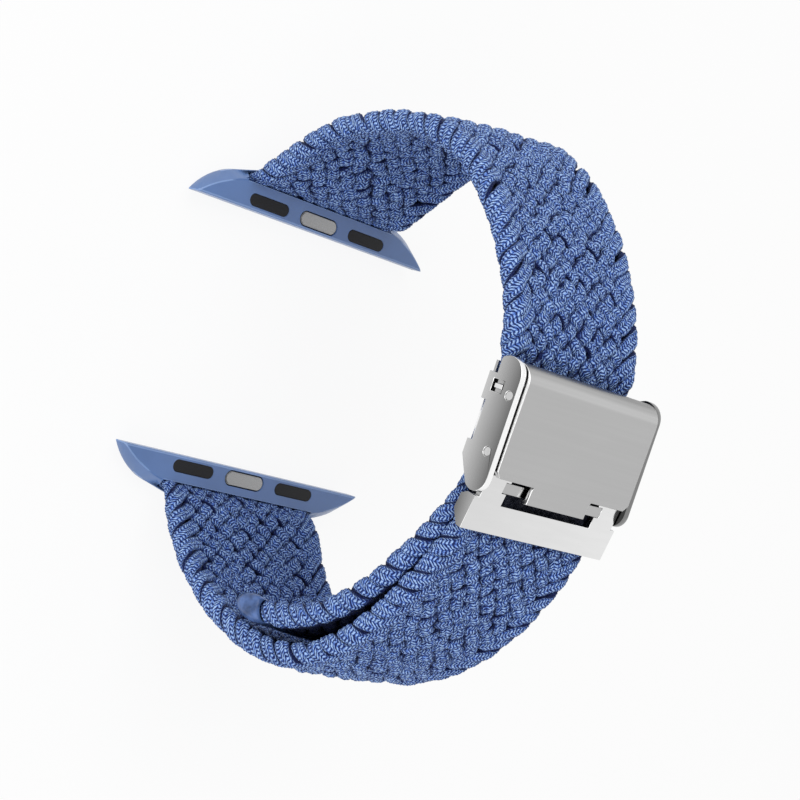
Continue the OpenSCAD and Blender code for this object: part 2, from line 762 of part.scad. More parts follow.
module clamp_plate() {
    flange_t = 0.55;
    arm_overlap = 0.5;
    flange = [[shoulder_y, -merge], [shoulder_y, -flange_drop * 0.6],
        [shoulder_y - 0.5, -flange_drop], [shoulder_y - 2.2, -flange_drop],
        [-plate_len, -plate_t], [-plate_len, -merge]];
    tooth_y = -0.45;
    tooth_pitch = 0.35;
    tooth = [[-0.17, 0.01], [0.17, 0.01], [0.12, -tooth_h]];
    tooth_inset = 0.3;
    cheek = [[clamp_hinge_y, clamp_hinge_z + cheek_r], plate_at, plate_at - [2.4, 0.5],
        plate_at - [2.4, 1.2], [clamp_hinge_y, clamp_hinge_z - cheek_r]];
    color(bright_steel)
        in_buckle()
            difference() {
                union() {
                    on_plate() {
                        translate([-cover_half_w, shoulder_y - arm_overlap, -plate_t])
                            cube([2 * cover_half_w, arm_overlap - shoulder_y, plate_t]);
                        translate([-plate_w / 2, -plate_len, -plate_t])
                            cube([plate_w, plate_len + shoulder_y, plate_t]);
                        for (s = [-1, 1])
                            translate([s * (plate_w - flange_t) / 2, 0, 0])
                                along_x(flange_t)
                                    polygon(flange);
                        along_x(strap_end_w - 2 * tooth_inset)
                            for (i = [0:teeth - 1])
                                translate([tooth_y - tooth_pitch * (i - (teeth - 1) / 2), -plate_t])
                                    polygon(tooth);
                    }
                    for (s = [-1, 1])
                        translate([s * (cover_half_w - cheek_t / 2), 0, 0])
                            along_x(cheek_t) {
                                translate([clamp_hinge_y, clamp_hinge_z])
                                    circle(cheek_r);
                                polygon(cheek);
                            }
                }
                on_plate() {
                    translate([-window_w / 2, window_y - window_len, -2 * plate_t])
                        cube([window_w, window_len, 4 * plate_t]);
                    translate([-catch_half_len - seat_gap, catch_y - catch_w - seat_gap, -catch_floor])
                        cube([2 * (catch_half_len + seat_gap), catch_w + 2 * seat_gap, 2 * plate_t]);
                }
                translate([0, clamp_hinge_y, clamp_hinge_z])
                    rotate([0, 90, 0])
                        cylinder(d = hinge_d + 2 * pin_gap, h = buckle_w, center = true);
            }
}

module catch_bar() {
    color(bright_steel)
        in_buckle()
            on_plate()
                translate([-catch_half_len, catch_y - catch_w, -catch_sink - catch_t])
                    cube([2 * catch_half_len, catch_w, catch_t]);
}

at_adapter(false) lug_adapter();  // upper_lug_adapter
at_adapter(false) rubber_pad(-1);  // upper_near_pad
at_adapter(false) rubber_pad(1);  // upper_far_pad
at_adapter(false) lock_button();  // upper_lock_button
at_adapter(false) button_spring();  // upper_button_spring
at_adapter(false) strap_pin();  // upper_strap_pin
at_adapter(true) lug_adapter();  // lower_lug_adapter
at_adapter(true) rubber_pad(-1);  // lower_near_pad
at_adapter(true) rubber_pad(1);  // lower_far_pad
at_adapter(true) lock_button();  // lower_lock_button
at_adapter(true) button_spring();  // lower_button_spring
at_adapter(true) strap_pin();  // lower_strap_pin
upper_strap();
strap_end_crimp();
lower_strap();
tail_end_cap();
buckle_frame();
anchor_bar();
hinge_pin(cover_hinge_y, cover_hinge_z);  // cover_hinge_pin
hinge_pin(clamp_hinge_y, clamp_hinge_z);  // clamp_hinge_pin
strap_bar();
buckle_cover();
clamp_plate();
catch_bar();
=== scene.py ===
# %% [markdown]
# # A braided watch strap with a folding buckle
# The real strap is a flat braid of knitted cords. Each half ends in a lug
# adapter that slides into a watch, and a steel buckle joins the two halves.
# The rigid pieces come ready made from the CAD model. This notebook lays the
# soft braid over the same centre lines and gives every piece its finish.

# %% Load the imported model
import json
import math
import bmesh
import bpy
import numpy as np
from mathutils import Matrix


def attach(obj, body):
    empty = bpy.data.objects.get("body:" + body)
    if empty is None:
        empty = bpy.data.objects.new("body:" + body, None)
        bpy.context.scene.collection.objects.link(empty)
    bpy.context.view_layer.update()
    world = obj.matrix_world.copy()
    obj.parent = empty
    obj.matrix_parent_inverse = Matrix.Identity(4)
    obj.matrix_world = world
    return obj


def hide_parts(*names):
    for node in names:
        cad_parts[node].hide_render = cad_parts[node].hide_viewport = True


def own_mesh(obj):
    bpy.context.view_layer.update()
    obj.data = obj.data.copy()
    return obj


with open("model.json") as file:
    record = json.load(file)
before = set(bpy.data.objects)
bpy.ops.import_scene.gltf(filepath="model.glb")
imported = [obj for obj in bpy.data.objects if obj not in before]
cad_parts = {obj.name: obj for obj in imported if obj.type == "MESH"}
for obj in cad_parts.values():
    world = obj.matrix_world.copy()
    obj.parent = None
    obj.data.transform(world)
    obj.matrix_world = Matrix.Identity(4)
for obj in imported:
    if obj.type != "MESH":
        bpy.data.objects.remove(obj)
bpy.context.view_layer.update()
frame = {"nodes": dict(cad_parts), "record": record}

MM = 0.001
nodes = frame["nodes"]

# %% [markdown]
# ## Camera
# The photograph was taken from above and from one side, with the camera rolled
# a little. The three directions below were found by fitting points of the
# adapters and the buckle, so the render and the photograph line up. A long lens
# keeps the two straps almost parallel.

# %% Place the camera
CAMERA_AT = np.array([-158.26, -1.615, 182.65])
CAMERA_RIGHT = (0.67826, 0.27704, 0.68060)
CAMERA_UP = (-0.19980, 0.96084, -0.19201)
CAMERA_BACK = (-0.70714, -0.00575, 0.70705)
LENS = 90.0
NEAREST = 10.0


def placed(name, data, at=(0, 0, 0), axes=None):
    """An object in the scene, at a place in millimetres, with its own X, Y and
    Z along three given directions."""
    made = bpy.data.objects.new(name, data)
    if axes is not None:
        turn = Matrix([tuple(axis) for axis in axes]).transposed().to_4x4()
        made.matrix_world = Matrix.Translation(np.array(at) * MM) @ turn
    bpy.context.scene.collection.objects.link(made)
    return made


lens = bpy.data.cameras.new("studio_camera")
lens.lens = LENS
lens.clip_start = NEAREST * MM
camera = placed("studio_camera", lens, CAMERA_AT, (CAMERA_RIGHT, CAMERA_UP, CAMERA_BACK))
bpy.context.scene.camera = camera
print("camera at", CAMERA_AT, "mm with a lens of", LENS, "mm")

# %% [markdown]
# ## Floor and light
# A studio picture of this kind has a white sweep and large soft lamps. The
# floor is a pale plane that adds a little light of its own where the camera
# looks at it, so it reads as white and still keeps a faint shadow. The world
# gives an even light, and two large lamps add direction.

# %% Build the studio
FLOOR_HALF = 3000.0
FLOOR_GREY = 0.9
WHITE_SHARE = 0.9
AMBIENT = 0.45
LAMP_SIZE = 440.0
KEY_AT, KEY_WATTS = (-160, 240, 330), 1.08
FILL_AT, FILL_WATTS = (-260, -260, 200), 0.76
LAMPS_AIM = (0, 0, 25)


def set_inputs(node, values):
    """Gives a node's inputs their values, by name or number. The output of
    another node is linked, and anything else is set."""
    for name, value in values.items():
        if isinstance(value, bpy.types.NodeSocket):
            node.id_data.links.new(value, node.inputs[name])
        else:
            node.inputs[name].default_value = value


def add_node(tree, kind, values, **settings):
    """A new shader node with its settings and its inputs."""
    made = tree.nodes.new("ShaderNode" + kind)
    for setting, value in settings.items():
        setattr(made, setting, value)
    set_inputs(made, values)
    return made


def node_material(name):
    """An empty material with an output and one Principled shader."""
    made = bpy.data.materials.new(name)
    made.use_nodes = True
    tree = made.node_tree
    tree.nodes.clear()
    shader = add_node(tree, "BsdfPrincipled", {})
    add_node(tree, "OutputMaterial", {"Surface": shader.outputs["BSDF"]})
    return made, tree, shader


def math_node(tree, operation, *values):
    """One Math node. Each value is a number or the output of another node."""
    return add_node(tree, "Math", dict(enumerate(values)), operation=operation).outputs[0]


def range_node(tree, value, ends, **settings):
    """A Map Range node. The ends that aren't given are 0 and 1."""
    return add_node(tree, "MapRange", {"Value": value, **ends}, **settings).outputs[0]


def seen_directly(tree):
    """1 for a camera, mirror or glass ray, and 0 for light that bounces."""
    ray = add_node(tree, "LightPath", {}).outputs
    first = math_node(tree, "MAXIMUM", ray["Is Camera Ray"], ray["Is Glossy Ray"])
    return math_node(tree, "MAXIMUM", first, ray["Is Transmission Ray"])


def build_floor():
    """A square in the plane z = 0, from four corners."""
    corners = np.array([[-1, -1, 0], [1, -1, 0], [1, 1, 0], [-1, 1, 0]], float)
    mesh = bpy.data.meshes.new("floor")
    mesh.from_pydata((corners * FLOOR_HALF * MM).tolist(), [], [(0, 1, 2, 3)])
    floor = placed("floor", mesh)
    made, tree, shader = node_material("white_floor")
    set_inputs(shader, {"Base Color": (FLOOR_GREY, FLOOR_GREY, FLOOR_GREY, 1),
                        "Roughness": 0.9, "Specular IOR Level": 0.0})
    glow = add_node(tree, "Emission", {})
    share = math_node(tree, "MULTIPLY", seen_directly(tree), WHITE_SHARE)
    mix = add_node(tree, "MixShader", {0: share, 1: shader.outputs[0], 2: glow.outputs[0]})
    set_inputs(tree.nodes["Material Output"], {"Surface": mix.outputs[0]})
    mesh.materials.append(made)


def build_world():
    """White where it is seen, and a softer even light where it only bounces."""
    world = bpy.data.worlds.new("studio_world")
    bpy.context.scene.world = world
    world.use_nodes = True
    tree = world.node_tree
    level = range_node(tree, seen_directly(tree), {"To Min": AMBIENT})
    set_inputs(tree.nodes["Background"], {"Color": (1, 1, 1, 1), "Strength": level})


def soft_lamp(name, at, watts):
    """A square area lamp at a place in millimetres that faces the strap."""
    light = bpy.data.lights.new(name, "AREA")
    light.size = LAMP_SIZE * MM
    light.energy = watts
    back = np.array(at, float) - np.array(LAMPS_AIM, float)
    back /= np.linalg.norm(back)
    side = np.cross((0.0, 0.0, 1.0), back)
    side /= np.linalg.norm(side)
    return placed(name, light, at, (side, np.cross(back, side), back))


build_floor()
build_world()
soft_lamp("key_lamp", KEY_AT, KEY_WATTS)
soft_lamp("fill_lamp", FILL_AT, FILL_WATTS)
bpy.context.scene.view_settings.view_transform = "Standard"
print("floor, world and two lamps are in place")

# %% [markdown]
# ## Centre lines of the two straps
# A strap is one long ribbon, so the whole of it follows from a line in the
# plane Y, Z and a thickness along that line. The CAD model builds each line
# from cubic curves with a set heading at both ends, and the same numbers are
# written here, so the braid is laid along the solid's own line.

# %% Curves with a heading at both ends
LOOP_TO_ROW = np.array([1.325, 3.0])
BUCKLE_AT = np.array([-1.4, 43.8])
BUCKLE_TILT = 3.6


def unit(angle):
    """The direction (cos, sin) of an angle in degrees."""
    return np.array([math.cos(math.radians(angle)), math.sin(math.radians(angle))])


def curve(start, heading, pull, end, end_heading, end_pull, steps=60):
    """A cubic Bezier curve: the second point lies ahead of the start and the
    third behind the end, each by its pull times the straight distance."""
    start, end = np.array(start, float), np.array(end, float)
    reach = np.linalg.norm(end - start)
    second = start + pull * reach * unit(heading)
    third = end - end_pull * reach * unit(end_heading)
    t = np.linspace(0, 1, steps + 1)[:, None]
    return ((1 - t) ** 3 * start + 3 * (1 - t) ** 2 * t * second
            + 3 * (1 - t) * t ** 2 * third + t ** 3 * end)


def from_buckle(along, above):
    """A point given in the buckle's own directions, along it and above it."""
    return BUCKLE_AT + along * unit(BUCKLE_TILT) + above * unit(BUCKLE_TILT + 90)


def smooth(x):
    """The S curve c * c * (3 - 2 c), with c held between 0 and 1."""
    c = np.clip(x, 0, 1)
    return c * c * (3 - 2 * c)


def rise(value, start, width):
    """The S curve from 0 at the start to 1 a width further on."""
    return smooth((value - start) / width)


print("the buckle's middle is at", from_buckle(0, 0), "in the loop's plane")

# %% [markdown]
# The upper line goes from the pin in its adapter to the back of the crimp. The
# lower one goes up to the strap bar, round it and back down inside as the tail.
# Both are thin where they are held and swell to the full thickness from there.

# %% Lay out the upper and the lower line
UPPER_PIN, UPPER_MOUTH = np.array([18.065, -1.75]), np.array([18.633, 0.0])
UPPER_BELLY = np.array([29.05, 22.0])
LOWER_PIN, LOWER_MOUTH = UPPER_PIN * (-1, 1), UPPER_MOUTH * (-1, 1)
LOWER_BELLY = np.array([-31.7, 19.5])
EXIT_ANGLE = 72.0
STRAP_BAR = from_buckle(-4.3, 1.3)
FOLD_RADIUS = 1.0
FOLD_FROM, FOLD_TO, FOLD_POINTS = 102.6, -76.4, 17
CRIMP_MOUTH = from_buckle(6.2, -0.45)
CRIMP_BACK = from_buckle(4.6, -0.45)
TAIL_END = np.array([-28.5, 18.2])
FULL_THICKNESS, PINCHED, CRIMPED = 2.3, 1.1, 0.7
SWELL_MOUTH, SWELL_CRIMP, SWELL_BAR = 2.6, 1.85, 8.4
LEAD, STEP = 4.0, 0.05
EASE_STEPS = 15


def lay_line(points, thickness):
    """Resamples a line at even steps of its own length. Past each of its ends
    it goes on straight for a lead. The heading is eased over a few steps.
    Returns the length, place, heading and thickness."""
    keep = np.r_[True, np.linalg.norm(np.diff(points, axis=0), axis=1) > 1e-6]
    points, thickness = points[keep], thickness[keep]
    first, last = points[0] - points[1], points[-1] - points[-2]
    points = np.vstack([points[0] + LEAD * first / np.linalg.norm(first), points,
                        points[-1] + LEAD * last / np.linalg.norm(last)])
    thickness = np.r_[thickness[0], thickness, thickness[-1]]
    length = np.r_[0, np.cumsum(np.linalg.norm(np.diff(points, axis=0), axis=1))] - LEAD
    even = np.arange(length[0], length[-1], STEP)
    place = np.stack([np.interp(even, length, points[:, k]) for k in (0, 1)], 1)
    heading = np.gradient(place, axis=0)
    kernel = np.hanning(EASE_STEPS) / np.hanning(EASE_STEPS).sum()
    padded = np.pad(heading, ((EASE_STEPS // 2, EASE_STEPS // 2), (0, 0)), "edge")
    heading = np.stack([np.convolve(padded[:, k], kernel, "valid") for k in (0, 1)], 1)
    heading /= np.linalg.norm(heading, axis=1)[:, None]
    return {"s": even, "place": place, "heading": heading,
            "thick": np.interp(even, length, thickness), "end": length[-1] - LEAD}


def upper_line():
    """From the pin in the adapter, over the belly, to the back of the crimp."""
    run = np.vstack([
        UPPER_PIN[None],
        curve(UPPER_MOUTH, EXIT_ANGLE, 0.25, UPPER_BELLY, 90, 0.53),
        curve(UPPER_BELLY, 90, 0.32, CRIMP_MOUTH, 180 + BUCKLE_TILT, 0.26)[1:],
        CRIMP_BACK[None]])
    near = np.linalg.norm(run - UPPER_MOUTH, axis=1)
    far = np.linalg.norm(run - CRIMP_MOUTH, axis=1)
    thick = np.minimum(PINCHED + (FULL_THICKNESS - PINCHED) * smooth(near / SWELL_MOUTH),
                       CRIMPED + (FULL_THICKNESS - CRIMPED) * smooth(far / SWELL_CRIMP))
    thick[0], thick[-1] = PINCHED, CRIMPED
    return lay_line(run, thick)


def lower_line():
    """From the pin in the adapter, up to the bar, round it and back inside."""
    turns = np.linspace(FOLD_FROM, FOLD_TO, FOLD_POINTS)
    fold = STRAP_BAR + FOLD_RADIUS * np.array([unit(turn) for turn in turns])
    run = np.vstack([
        LOWER_PIN[None],
        curve(LOWER_MOUTH, 180 - EXIT_ANGLE, 0.09, LOWER_BELLY, 90, 0.54),
        curve(LOWER_BELLY, 90, 0.355, fold[0], FOLD_FROM - 90, 0.383)[1:],
        fold[1:],
        curve(fold[-1], FOLD_TO - 90, 0.33, TAIL_END, -98, 0.39)[1:]])
    near = np.linalg.norm(run - LOWER_MOUTH, axis=1)
    bar = np.linalg.norm(run - STRAP_BAR, axis=1) - FOLD_RADIUS
    swell = np.minimum(smooth(near / SWELL_MOUTH), smooth(bar / SWELL_BAR))
    thick = PINCHED + (FULL_THICKNESS - PINCHED) * swell
    thick[0] = PINCHED
    return lay_line(run, thick)


upper, lower = upper_line(), lower_line()
print("upper line", round(upper["end"], 1), "mm, lower line with its tail",
      round(lower["end"], 1), "mm")

# %% [markdown]
# ## How a flat braid runs
# In a flat braid every cord does the same thing: it crosses the ribbon at a
# slant, turns round the edge and comes back on the other side. Eighteen cords
# follow one another at even steps. In the middle each goes over one and under
# one. The two crossings next to an edge are both passed on top, so the edges
# look like a thick rope. One formula for one cord, with a start that differs,
# therefore gives the whole braid.

# %% One cord's way through the braid
CORDS = 18
EDGE_PITCH = 2.36
ROUND = CORDS * EDGE_PITCH
HALF_WIDTH = 11.8
CORD_WIDTH, CORD_THICK = 1.86, 1.16
RISE = 0.56
TURN_HALF = 1.15
OUTERMOST = HALF_WIDTH - CORD_THICK / 2
SLANT = (ROUND / 4 - TURN_HALF / 2) / OUTERMOST
CROSS_HALF = OUTERMOST - TURN_HALF / (2 * SLANT)
INNER_CROSSINGS = [-1 if k % 2 else 1 for k in range(3, CORDS - 2)]
OVER = np.array([1, 1, 1] + INNER_CROSSINGS + [1, 1, 1], float)


def cord_way(advance, start):
    """Where a cord is after it has advanced along the ribbon. It crosses in a
    straight slant, and a parabola joins two slants at each edge. Its height
    follows a cosine from one crossing to the next, and in a turn the sine of an
    angle that goes from one face to the other. Returns its place across, its
    height, and the angle that its flat side faces."""
    phase = np.mod(advance + start, ROUND)
    back = phase > ROUND / 2
    half = np.where(back, phase - ROUND / 2, phase)
    to_turn = np.minimum(half, ROUND / 2 - half)
    turning = to_turn < TURN_HALF
    angle = np.clip(to_turn / TURN_HALF, 0, 1) * math.pi / 2
    edge = np.sign(half - ROUND / 4)
    round_edge = edge * (OUTERMOST - to_turn ** 2 / (2 * TURN_HALF * SLANT))
    across = np.where(turning, round_edge, (half - ROUND / 4) / SLANT)
    column = 2 * half / EDGE_PITCH
    column = np.where(back, column, CORDS - column)
    whole = np.clip(np.floor(column), 0, CORDS - 1).astype(int)
    blend = (1 - np.cos(math.pi * (column - whole))) / 2
    over = OVER[whole] + (OVER[whole + 1] - OVER[whole]) * blend
    height = RISE * np.where(turning, np.sin(angle), over)
    flat = np.where(turning, edge * (math.pi / 2 - angle), 0)
    return (np.where(back, -across, across), np.where(back, -height, height),
            flat + np.where(back, math.pi, 0))


print("one cord needs", round(ROUND, 1), "mm of ribbon to cross and come back,",
      "at a slant of", round(math.degrees(math.atan(1 / SLANT)), 1), "degrees")

# %% [markdown]
# ## A knitted cord
# Each cord is a flattened tube of knitting with ten columns of stitches. The
# stitches lean to the left and to the right in turn, which draws small V marks.
# The tube is a ring carried along the cord's way. The ring swells where a
# stitch lies, so the stitches are real shape, and the pattern's coordinates are
# kept in a UV map for the finish. Where a cord bends over its neighbour, its
# outer side stretches, so the stitches are counted along the longer side.

# %% The knitting on a cord
STITCH = 0.40
COLUMNS = 10
SIDES = 2 * COLUMNS
RINGS_A_STITCH = 2.5
STITCH_LEAN = 0.9
STITCH_RISE = 0.04
PLUMP = 0.9
FAT_SPREAD = 0.05


def soft_waves(a, b, seed, count=7, shortest=3.0, longest=9.0):
    """A smooth random field: the sum of a few plane waves over two lengths,
    with directions, wavelengths and phases drawn from a seeded generator."""
    draw = np.random.default_rng(seed)
    turn = draw.uniform(0, 2 * math.pi, count)
    wave = 2 * math.pi / draw.uniform(shortest, longest, count)
    shift = draw.uniform(0, 2 * math.pi, count)
    total = np.zeros(np.broadcast(a, b).shape)
    for k in range(count):
        total += np.sin(wave[k] * (math.cos(turn[k]) * a + math.sin(turn[k]) * b) + shift[k])
    return total / math.sqrt(count)


def knit_height(along, around):
    """Height of the knitting from 0 to 1: a cosine along the cord whose phase
    leans to and fro across each column, times a hump across the column."""
    lean = STITCH_LEAN * np.abs(np.mod(around + 1, 2) - 1)
    ridge = 0.5 + 0.5 * np.cos(2 * math.pi * (along + lean))
    return ridge * np.abs(np.sin(math.pi * around)) ** 0.5


print("a stitch is", STITCH, "mm long, and a cord has", COLUMNS, "columns of them")

# %% [markdown]
# No two cords of a real braid lie alike, so each one wanders a little, rides
# higher or lower, and rolls to and fro. It is calmer at the edges, where it turns.

# %% Carry the knitted ring along
WANDER, HEIGHT_WANDER, ROLL = 0.28, 0.15, 0.22
ROLL_SHORTEST, ROLL_LONGEST = 2.5, 6
CALM = 3


def cord_frames(advance, which, seed):
    """The middle of each ring, and its thin and its wide direction. The thin
    direction follows the side that cord_way gives, kept square to the way, and
    rolls a little to and fro."""
    across, height, flat = cord_way(advance, np.array(which)[:, None] * EDGE_PITCH)
    inner = np.clip((CROSS_HALF - np.abs(across)) / CALM, 0, 1)
    lift = 1 + HEIGHT_WANDER * soft_waves(across, advance, seed + 3)
    way = np.stack([across + WANDER * inner * soft_waves(across, advance, seed + 1),
                    advance + WANDER * soft_waves(across, advance, seed + 2),
                    height * lift], -1)
    ahead = np.gradient(way, axis=1)
    ahead /= np.linalg.norm(ahead, axis=-1)[..., None]
    thin = np.stack([np.sin(flat), np.zeros_like(flat), np.cos(flat)], -1)
    thin -= (thin * ahead).sum(-1, keepdims=True) * ahead
    thin /= np.linalg.norm(thin, axis=-1)[..., None]
    rolling = soft_waves(across, advance, seed + 4, shortest=ROLL_SHORTEST, longest=ROLL_LONGEST)
    roll = ROLL * (inner * rolling)[..., None]
    thin = thin * np.cos(roll) + np.cross(ahead, thin) * np.sin(roll)
    return way, thin, np.cross(ahead, thin)


def even_rings(which, length, seed):
    """Places for the rings, at even steps of knitting. The knitting is as long
    as the longer of the cord's two flat sides."""
    advance = np.arange(0, length, STEP)[None, :] + np.zeros((len(which), 1))
    way, thin, _ = cord_frames(advance, which, seed)
    sides = np.stack([way + thin * CORD_THICK / 2, way - thin * CORD_THICK / 2])
    steps = np.linalg.norm(np.diff(sides, axis=2), axis=-1).max(0)
    along = np.concatenate([np.zeros((len(which), 1)), np.cumsum(steps, 1)], 1) / STITCH
    count = int(along[:, -1].max() * RINGS_A_STITCH)
    knit = np.linspace(0, 1, count)[None, :] * along[:, -1:]
    places = np.stack([np.interp(knit[k], along[k], advance[k]) for k in range(len(which))])
    return places, knit


def plump(x):
    """A cosine or sine with its sign kept and its size raised to a power
    below 1, which makes an ellipse a little fuller."""
    return np.sign(x) * np.abs(x) ** PLUMP


def cord_tubes(which, length, seed):
    """Rings of the chosen cords in the ribbon's own lengths: across, along and
    above. A ring is a plump ellipse that swells with the knitting."""
    advance, along = even_rings(which, length, seed)
    way, thin, wide = cord_frames(advance, which, seed)
    drawn = np.random.default_rng(seed).standard_normal(CORDS)
    fat = 1 + FAT_SPREAD * drawn[list(which)][:, None]
    around = np.arange(SIDES) / SIDES
    angle = 2 * math.pi * around
    swell = STITCH_RISE * (2 * knit_height(along[..., None], around * COLUMNS) - 1)
    out_wide = CORD_WIDTH / 2 * fat[..., None] * plump(np.cos(angle)) + swell * np.cos(angle)
    out_thin = CORD_THICK / 2 * plump(np.sin(angle)) + swell * np.sin(angle)
    return (way[:, :, None, :] + wide[:, :, None, :] * out_wide[..., None]
            + thin[:, :, None, :] * out_thin[..., None]), along


SAMPLE_LENGTH, SAMPLE_SEED = 10, 5
sample, _ = cord_tubes([0], SAMPLE_LENGTH, SAMPLE_SEED)
print(SAMPLE_LENGTH, "mm of ribbon holds", sample.shape[1], "rings of", SIDES,
      "corners of one cord")

# %% [markdown]
# ## From the flat braid to the bent strap
# The flat braid is now bent along its line. A point's place across goes along
# the X axis, its height goes along the line's normal, and the ribbon narrows
# towards the buckle and thins where it is pinched. The real halves also sag and
# lean a little in mid run, so a smooth field moves them outwards there: by one
# share everywhere, one that grows across the ribbon, one for its middle, and a
# skew of the near edge. The upper half also drifts a little to the far side.

# %% Bend, narrow and sway
WIDTH_AT = {1: ([0.0, 3.0, 36.8, 41.5, 44.0], [11.8, 11.9, 11.25, 10.5, 10.15]),
            -1: ([0.0, 3.0, 36.8, 41.5, 44.0], [11.8, 11.9, 10.6, 10.35, 10.15])}
SWAY_FROM, SWAY_TO = 2.0, 38.0
SWAY = {1: (-0.25, 1.58, 0.72, 0.03), -1: (-0.2, 0.42, 1.1, -0.8)}
PEAK_POWER = {1: 0.95, -1: 0.8}
DRIFT = {1: 0.16, -1: 0.0}
DRIFT_FROM, DRIFT_OVER = 15, 20
EDGE_SWELL, EDGE_FROM, EDGE_OVER = 0.2, 0.65, 0.3
TAIL_PINCH, PINCH_OVER = 3.2, 2
TAIL_NARROWS, TAIL_THINS = 1.2, 0.42


def sway(xi, z, outward):
    """How far a point moves outwards. With t from 0 to 1 between the two ends:
    (even + lean * xi + belly * (1 - xi^2)) * sin(pi t^power)^2, where a power
    below 1 puts the peak lower down, plus a skew of the near edge,
    skew * (1 - xi) / 2 * sin(2 pi t)."""
    even, lean, belly, skew = SWAY[outward]
    t = np.clip((z - SWAY_FROM) / (SWAY_TO - SWAY_FROM), 0, 1)
    hump = np.sin(math.pi * t ** PEAK_POWER[outward]) ** 2
    return ((even + lean * xi + belly * (1 - xi ** 2)) * hump
            + skew * (1 - xi) / 2 * np.sin(2 * math.pi * t))


def bend(tube, line, outward):
    """Maps across, along and above to X, Y and Z: the place on the line, plus
    above times its outward normal, plus the sway, with across along X. The
    edges are a little thicker than the rest. The upper half also drifts a
    little to the far side on its way up."""
    s = tube[..., 1]
    y, z = (np.interp(s, line["s"], line["place"][:, k]) for k in (0, 1))
    ty, tz = (np.interp(s, line["s"], line["heading"][:, k]) for k in (0, 1))
    xi = tube[..., 0] / HALF_WIDTH * -outward
    half = np.interp(z, *WIDTH_AT[outward]) - np.interp(s, line["s"], line["narrow"])
    edge = 1 + EDGE_SWELL * rise(np.abs(xi), EDGE_FROM, EDGE_OVER)
    above = tube[..., 2] * edge * np.interp(s, line["s"], line["thick"]) / FULL_THICKNESS
    moved = outward * sway(xi, z, outward)
    return np.stack([xi * half + DRIFT[outward] * rise(z, DRIFT_FROM, DRIFT_OVER),
                     y + above * outward * tz + moved + LOOP_TO_ROW[0],
                     z - above * outward * ty + LOOP_TO_ROW[1]], -1)


pinch = rise(lower["s"], lower["end"] - TAIL_PINCH, PINCH_OVER)
lower["narrow"] = TAIL_NARROWS * pinch
lower["thick"] = lower["thick"] * (1 - TAIL_THINS * pinch)
upper["narrow"] = np.zeros_like(upper["s"])
print("mid run moves out by", [round(float(sway(x, 20.0, 1)), 2) for x in (-1, 0, 1)],
      "mm in the upper half at the near edge, middle and far edge")

# %% [markdown]
# A cord's rings become one closed tube. It carries what the finish needs: where
# a point lies in the knitting, and how exposed to the light it is, so that shade
# can be painted into the valleys between cords and the gap behind the tail.

# %% From rings to a mesh
FACE_FROM, FACE_OVER = -0.1, 0.35
LIT_EDGE, LIT_EDGE_OVER = 0.3, 0.9
BESIDE_FROM, BESIDE_OVER = 1, 3
BEND_CLEAR, BEND_OVER = 2, 2
TURN_CLEAR, TURN_OVER = 0.3, 0.8
SIDE_LIGHT, SIDE_FROM, SIDE_OVER = 0.3, 0.1, 0.5


def tube_piece(name, places, along, exposure, material):
    """Joins the rings into tubes with closed ends, all as whole arrays. The UV
    map holds stitches along the cord and columns around it, and an attribute
    holds how exposed each point is."""
    cords, rings, sides = places.shape[:3]
    number = np.arange(cords * rings * sides).reshape(cords, rings, sides)
    turn = np.roll(number, -1, axis=2)
    quads = np.stack([number[:, :-1], number[:, 1:], turn[:, 1:], turn[:, :-1]], -1)
    caps = np.concatenate([number[:, 0], number[:, -1, ::-1]], 0)
    loops = np.concatenate([quads.ravel(), caps.ravel()]).astype(np.int32)
    cap_begins = quads.size + np.arange(len(caps)) * sides
    begins = np.concatenate([np.arange(0, quads.size, 4), cap_begins]).astype(np.int32)
    mesh = bpy.data.meshes.new(name)
    mesh.vertices.add(number.size)
    mesh.vertices.foreach_set("co", (places * MM).astype(np.float32).ravel())
    mesh.loops.add(len(loops))
    mesh.loops.foreach_set("vertex_index", loops)
    mesh.polygons.add(len(begins))
    mesh.polygons.foreach_set("loop_start", begins)
    column = np.arange(sides) * COLUMNS / sides
    step = COLUMNS / sides
    u = np.stack([along[:, :-1], along[:, 1:], along[:, 1:], along[:, :-1]], -1)
    u = np.broadcast_to(u[:, :, None, :], quads.shape)
    v = np.stack([column, column, column + step, column + step], -1)
    v = np.broadcast_to(v, quads.shape)
    uv = np.zeros((len(loops), 2), np.float32)
    uv[:quads.size, 0], uv[:quads.size, 1] = u.ravel(), v.ravel()
    mesh.uv_layers.new(name="knit")
    mesh.uv_layers["knit"].uv.foreach_set("vector", uv.ravel())
    mesh.attributes.new("exposure", "FLOAT", "POINT")
    mesh.attributes["exposure"].data.foreach_set("value", exposure.astype(np.float32).ravel())
    mesh.update(calc_edges=True)
    mesh.shade_smooth()
    mesh.materials.append(material)
    return placed(name, mesh)


def between_layers(tube, line):
    """1 on the side of the lower strap's two layers that faces the gap between
    them, and 0 elsewhere. Only the tail and the run next to it have a gap, and
    the turns at the edges stay in the light. Shade is painted where this is 1."""
    s = tube[..., 1]
    z = np.interp(s, line["s"], line["place"][:, 1])
    tail = np.argmax(line["place"][:, 1])
    facing = rise(-tube[..., 2], FACE_FROM, FACE_OVER)
    facing = facing * (1 - rise(np.abs(tube[..., 0]), CROSS_HALF - LIT_EDGE, LIT_EDGE_OVER))
    beside = rise(z, TAIL_END[1] - BESIDE_FROM, BESIDE_OVER)
    beside = np.where(s > line["s"][tail], 1.0, beside)
    return facing * beside * rise(np.abs(s - line["s"][tail]), BEND_CLEAR, BEND_OVER)


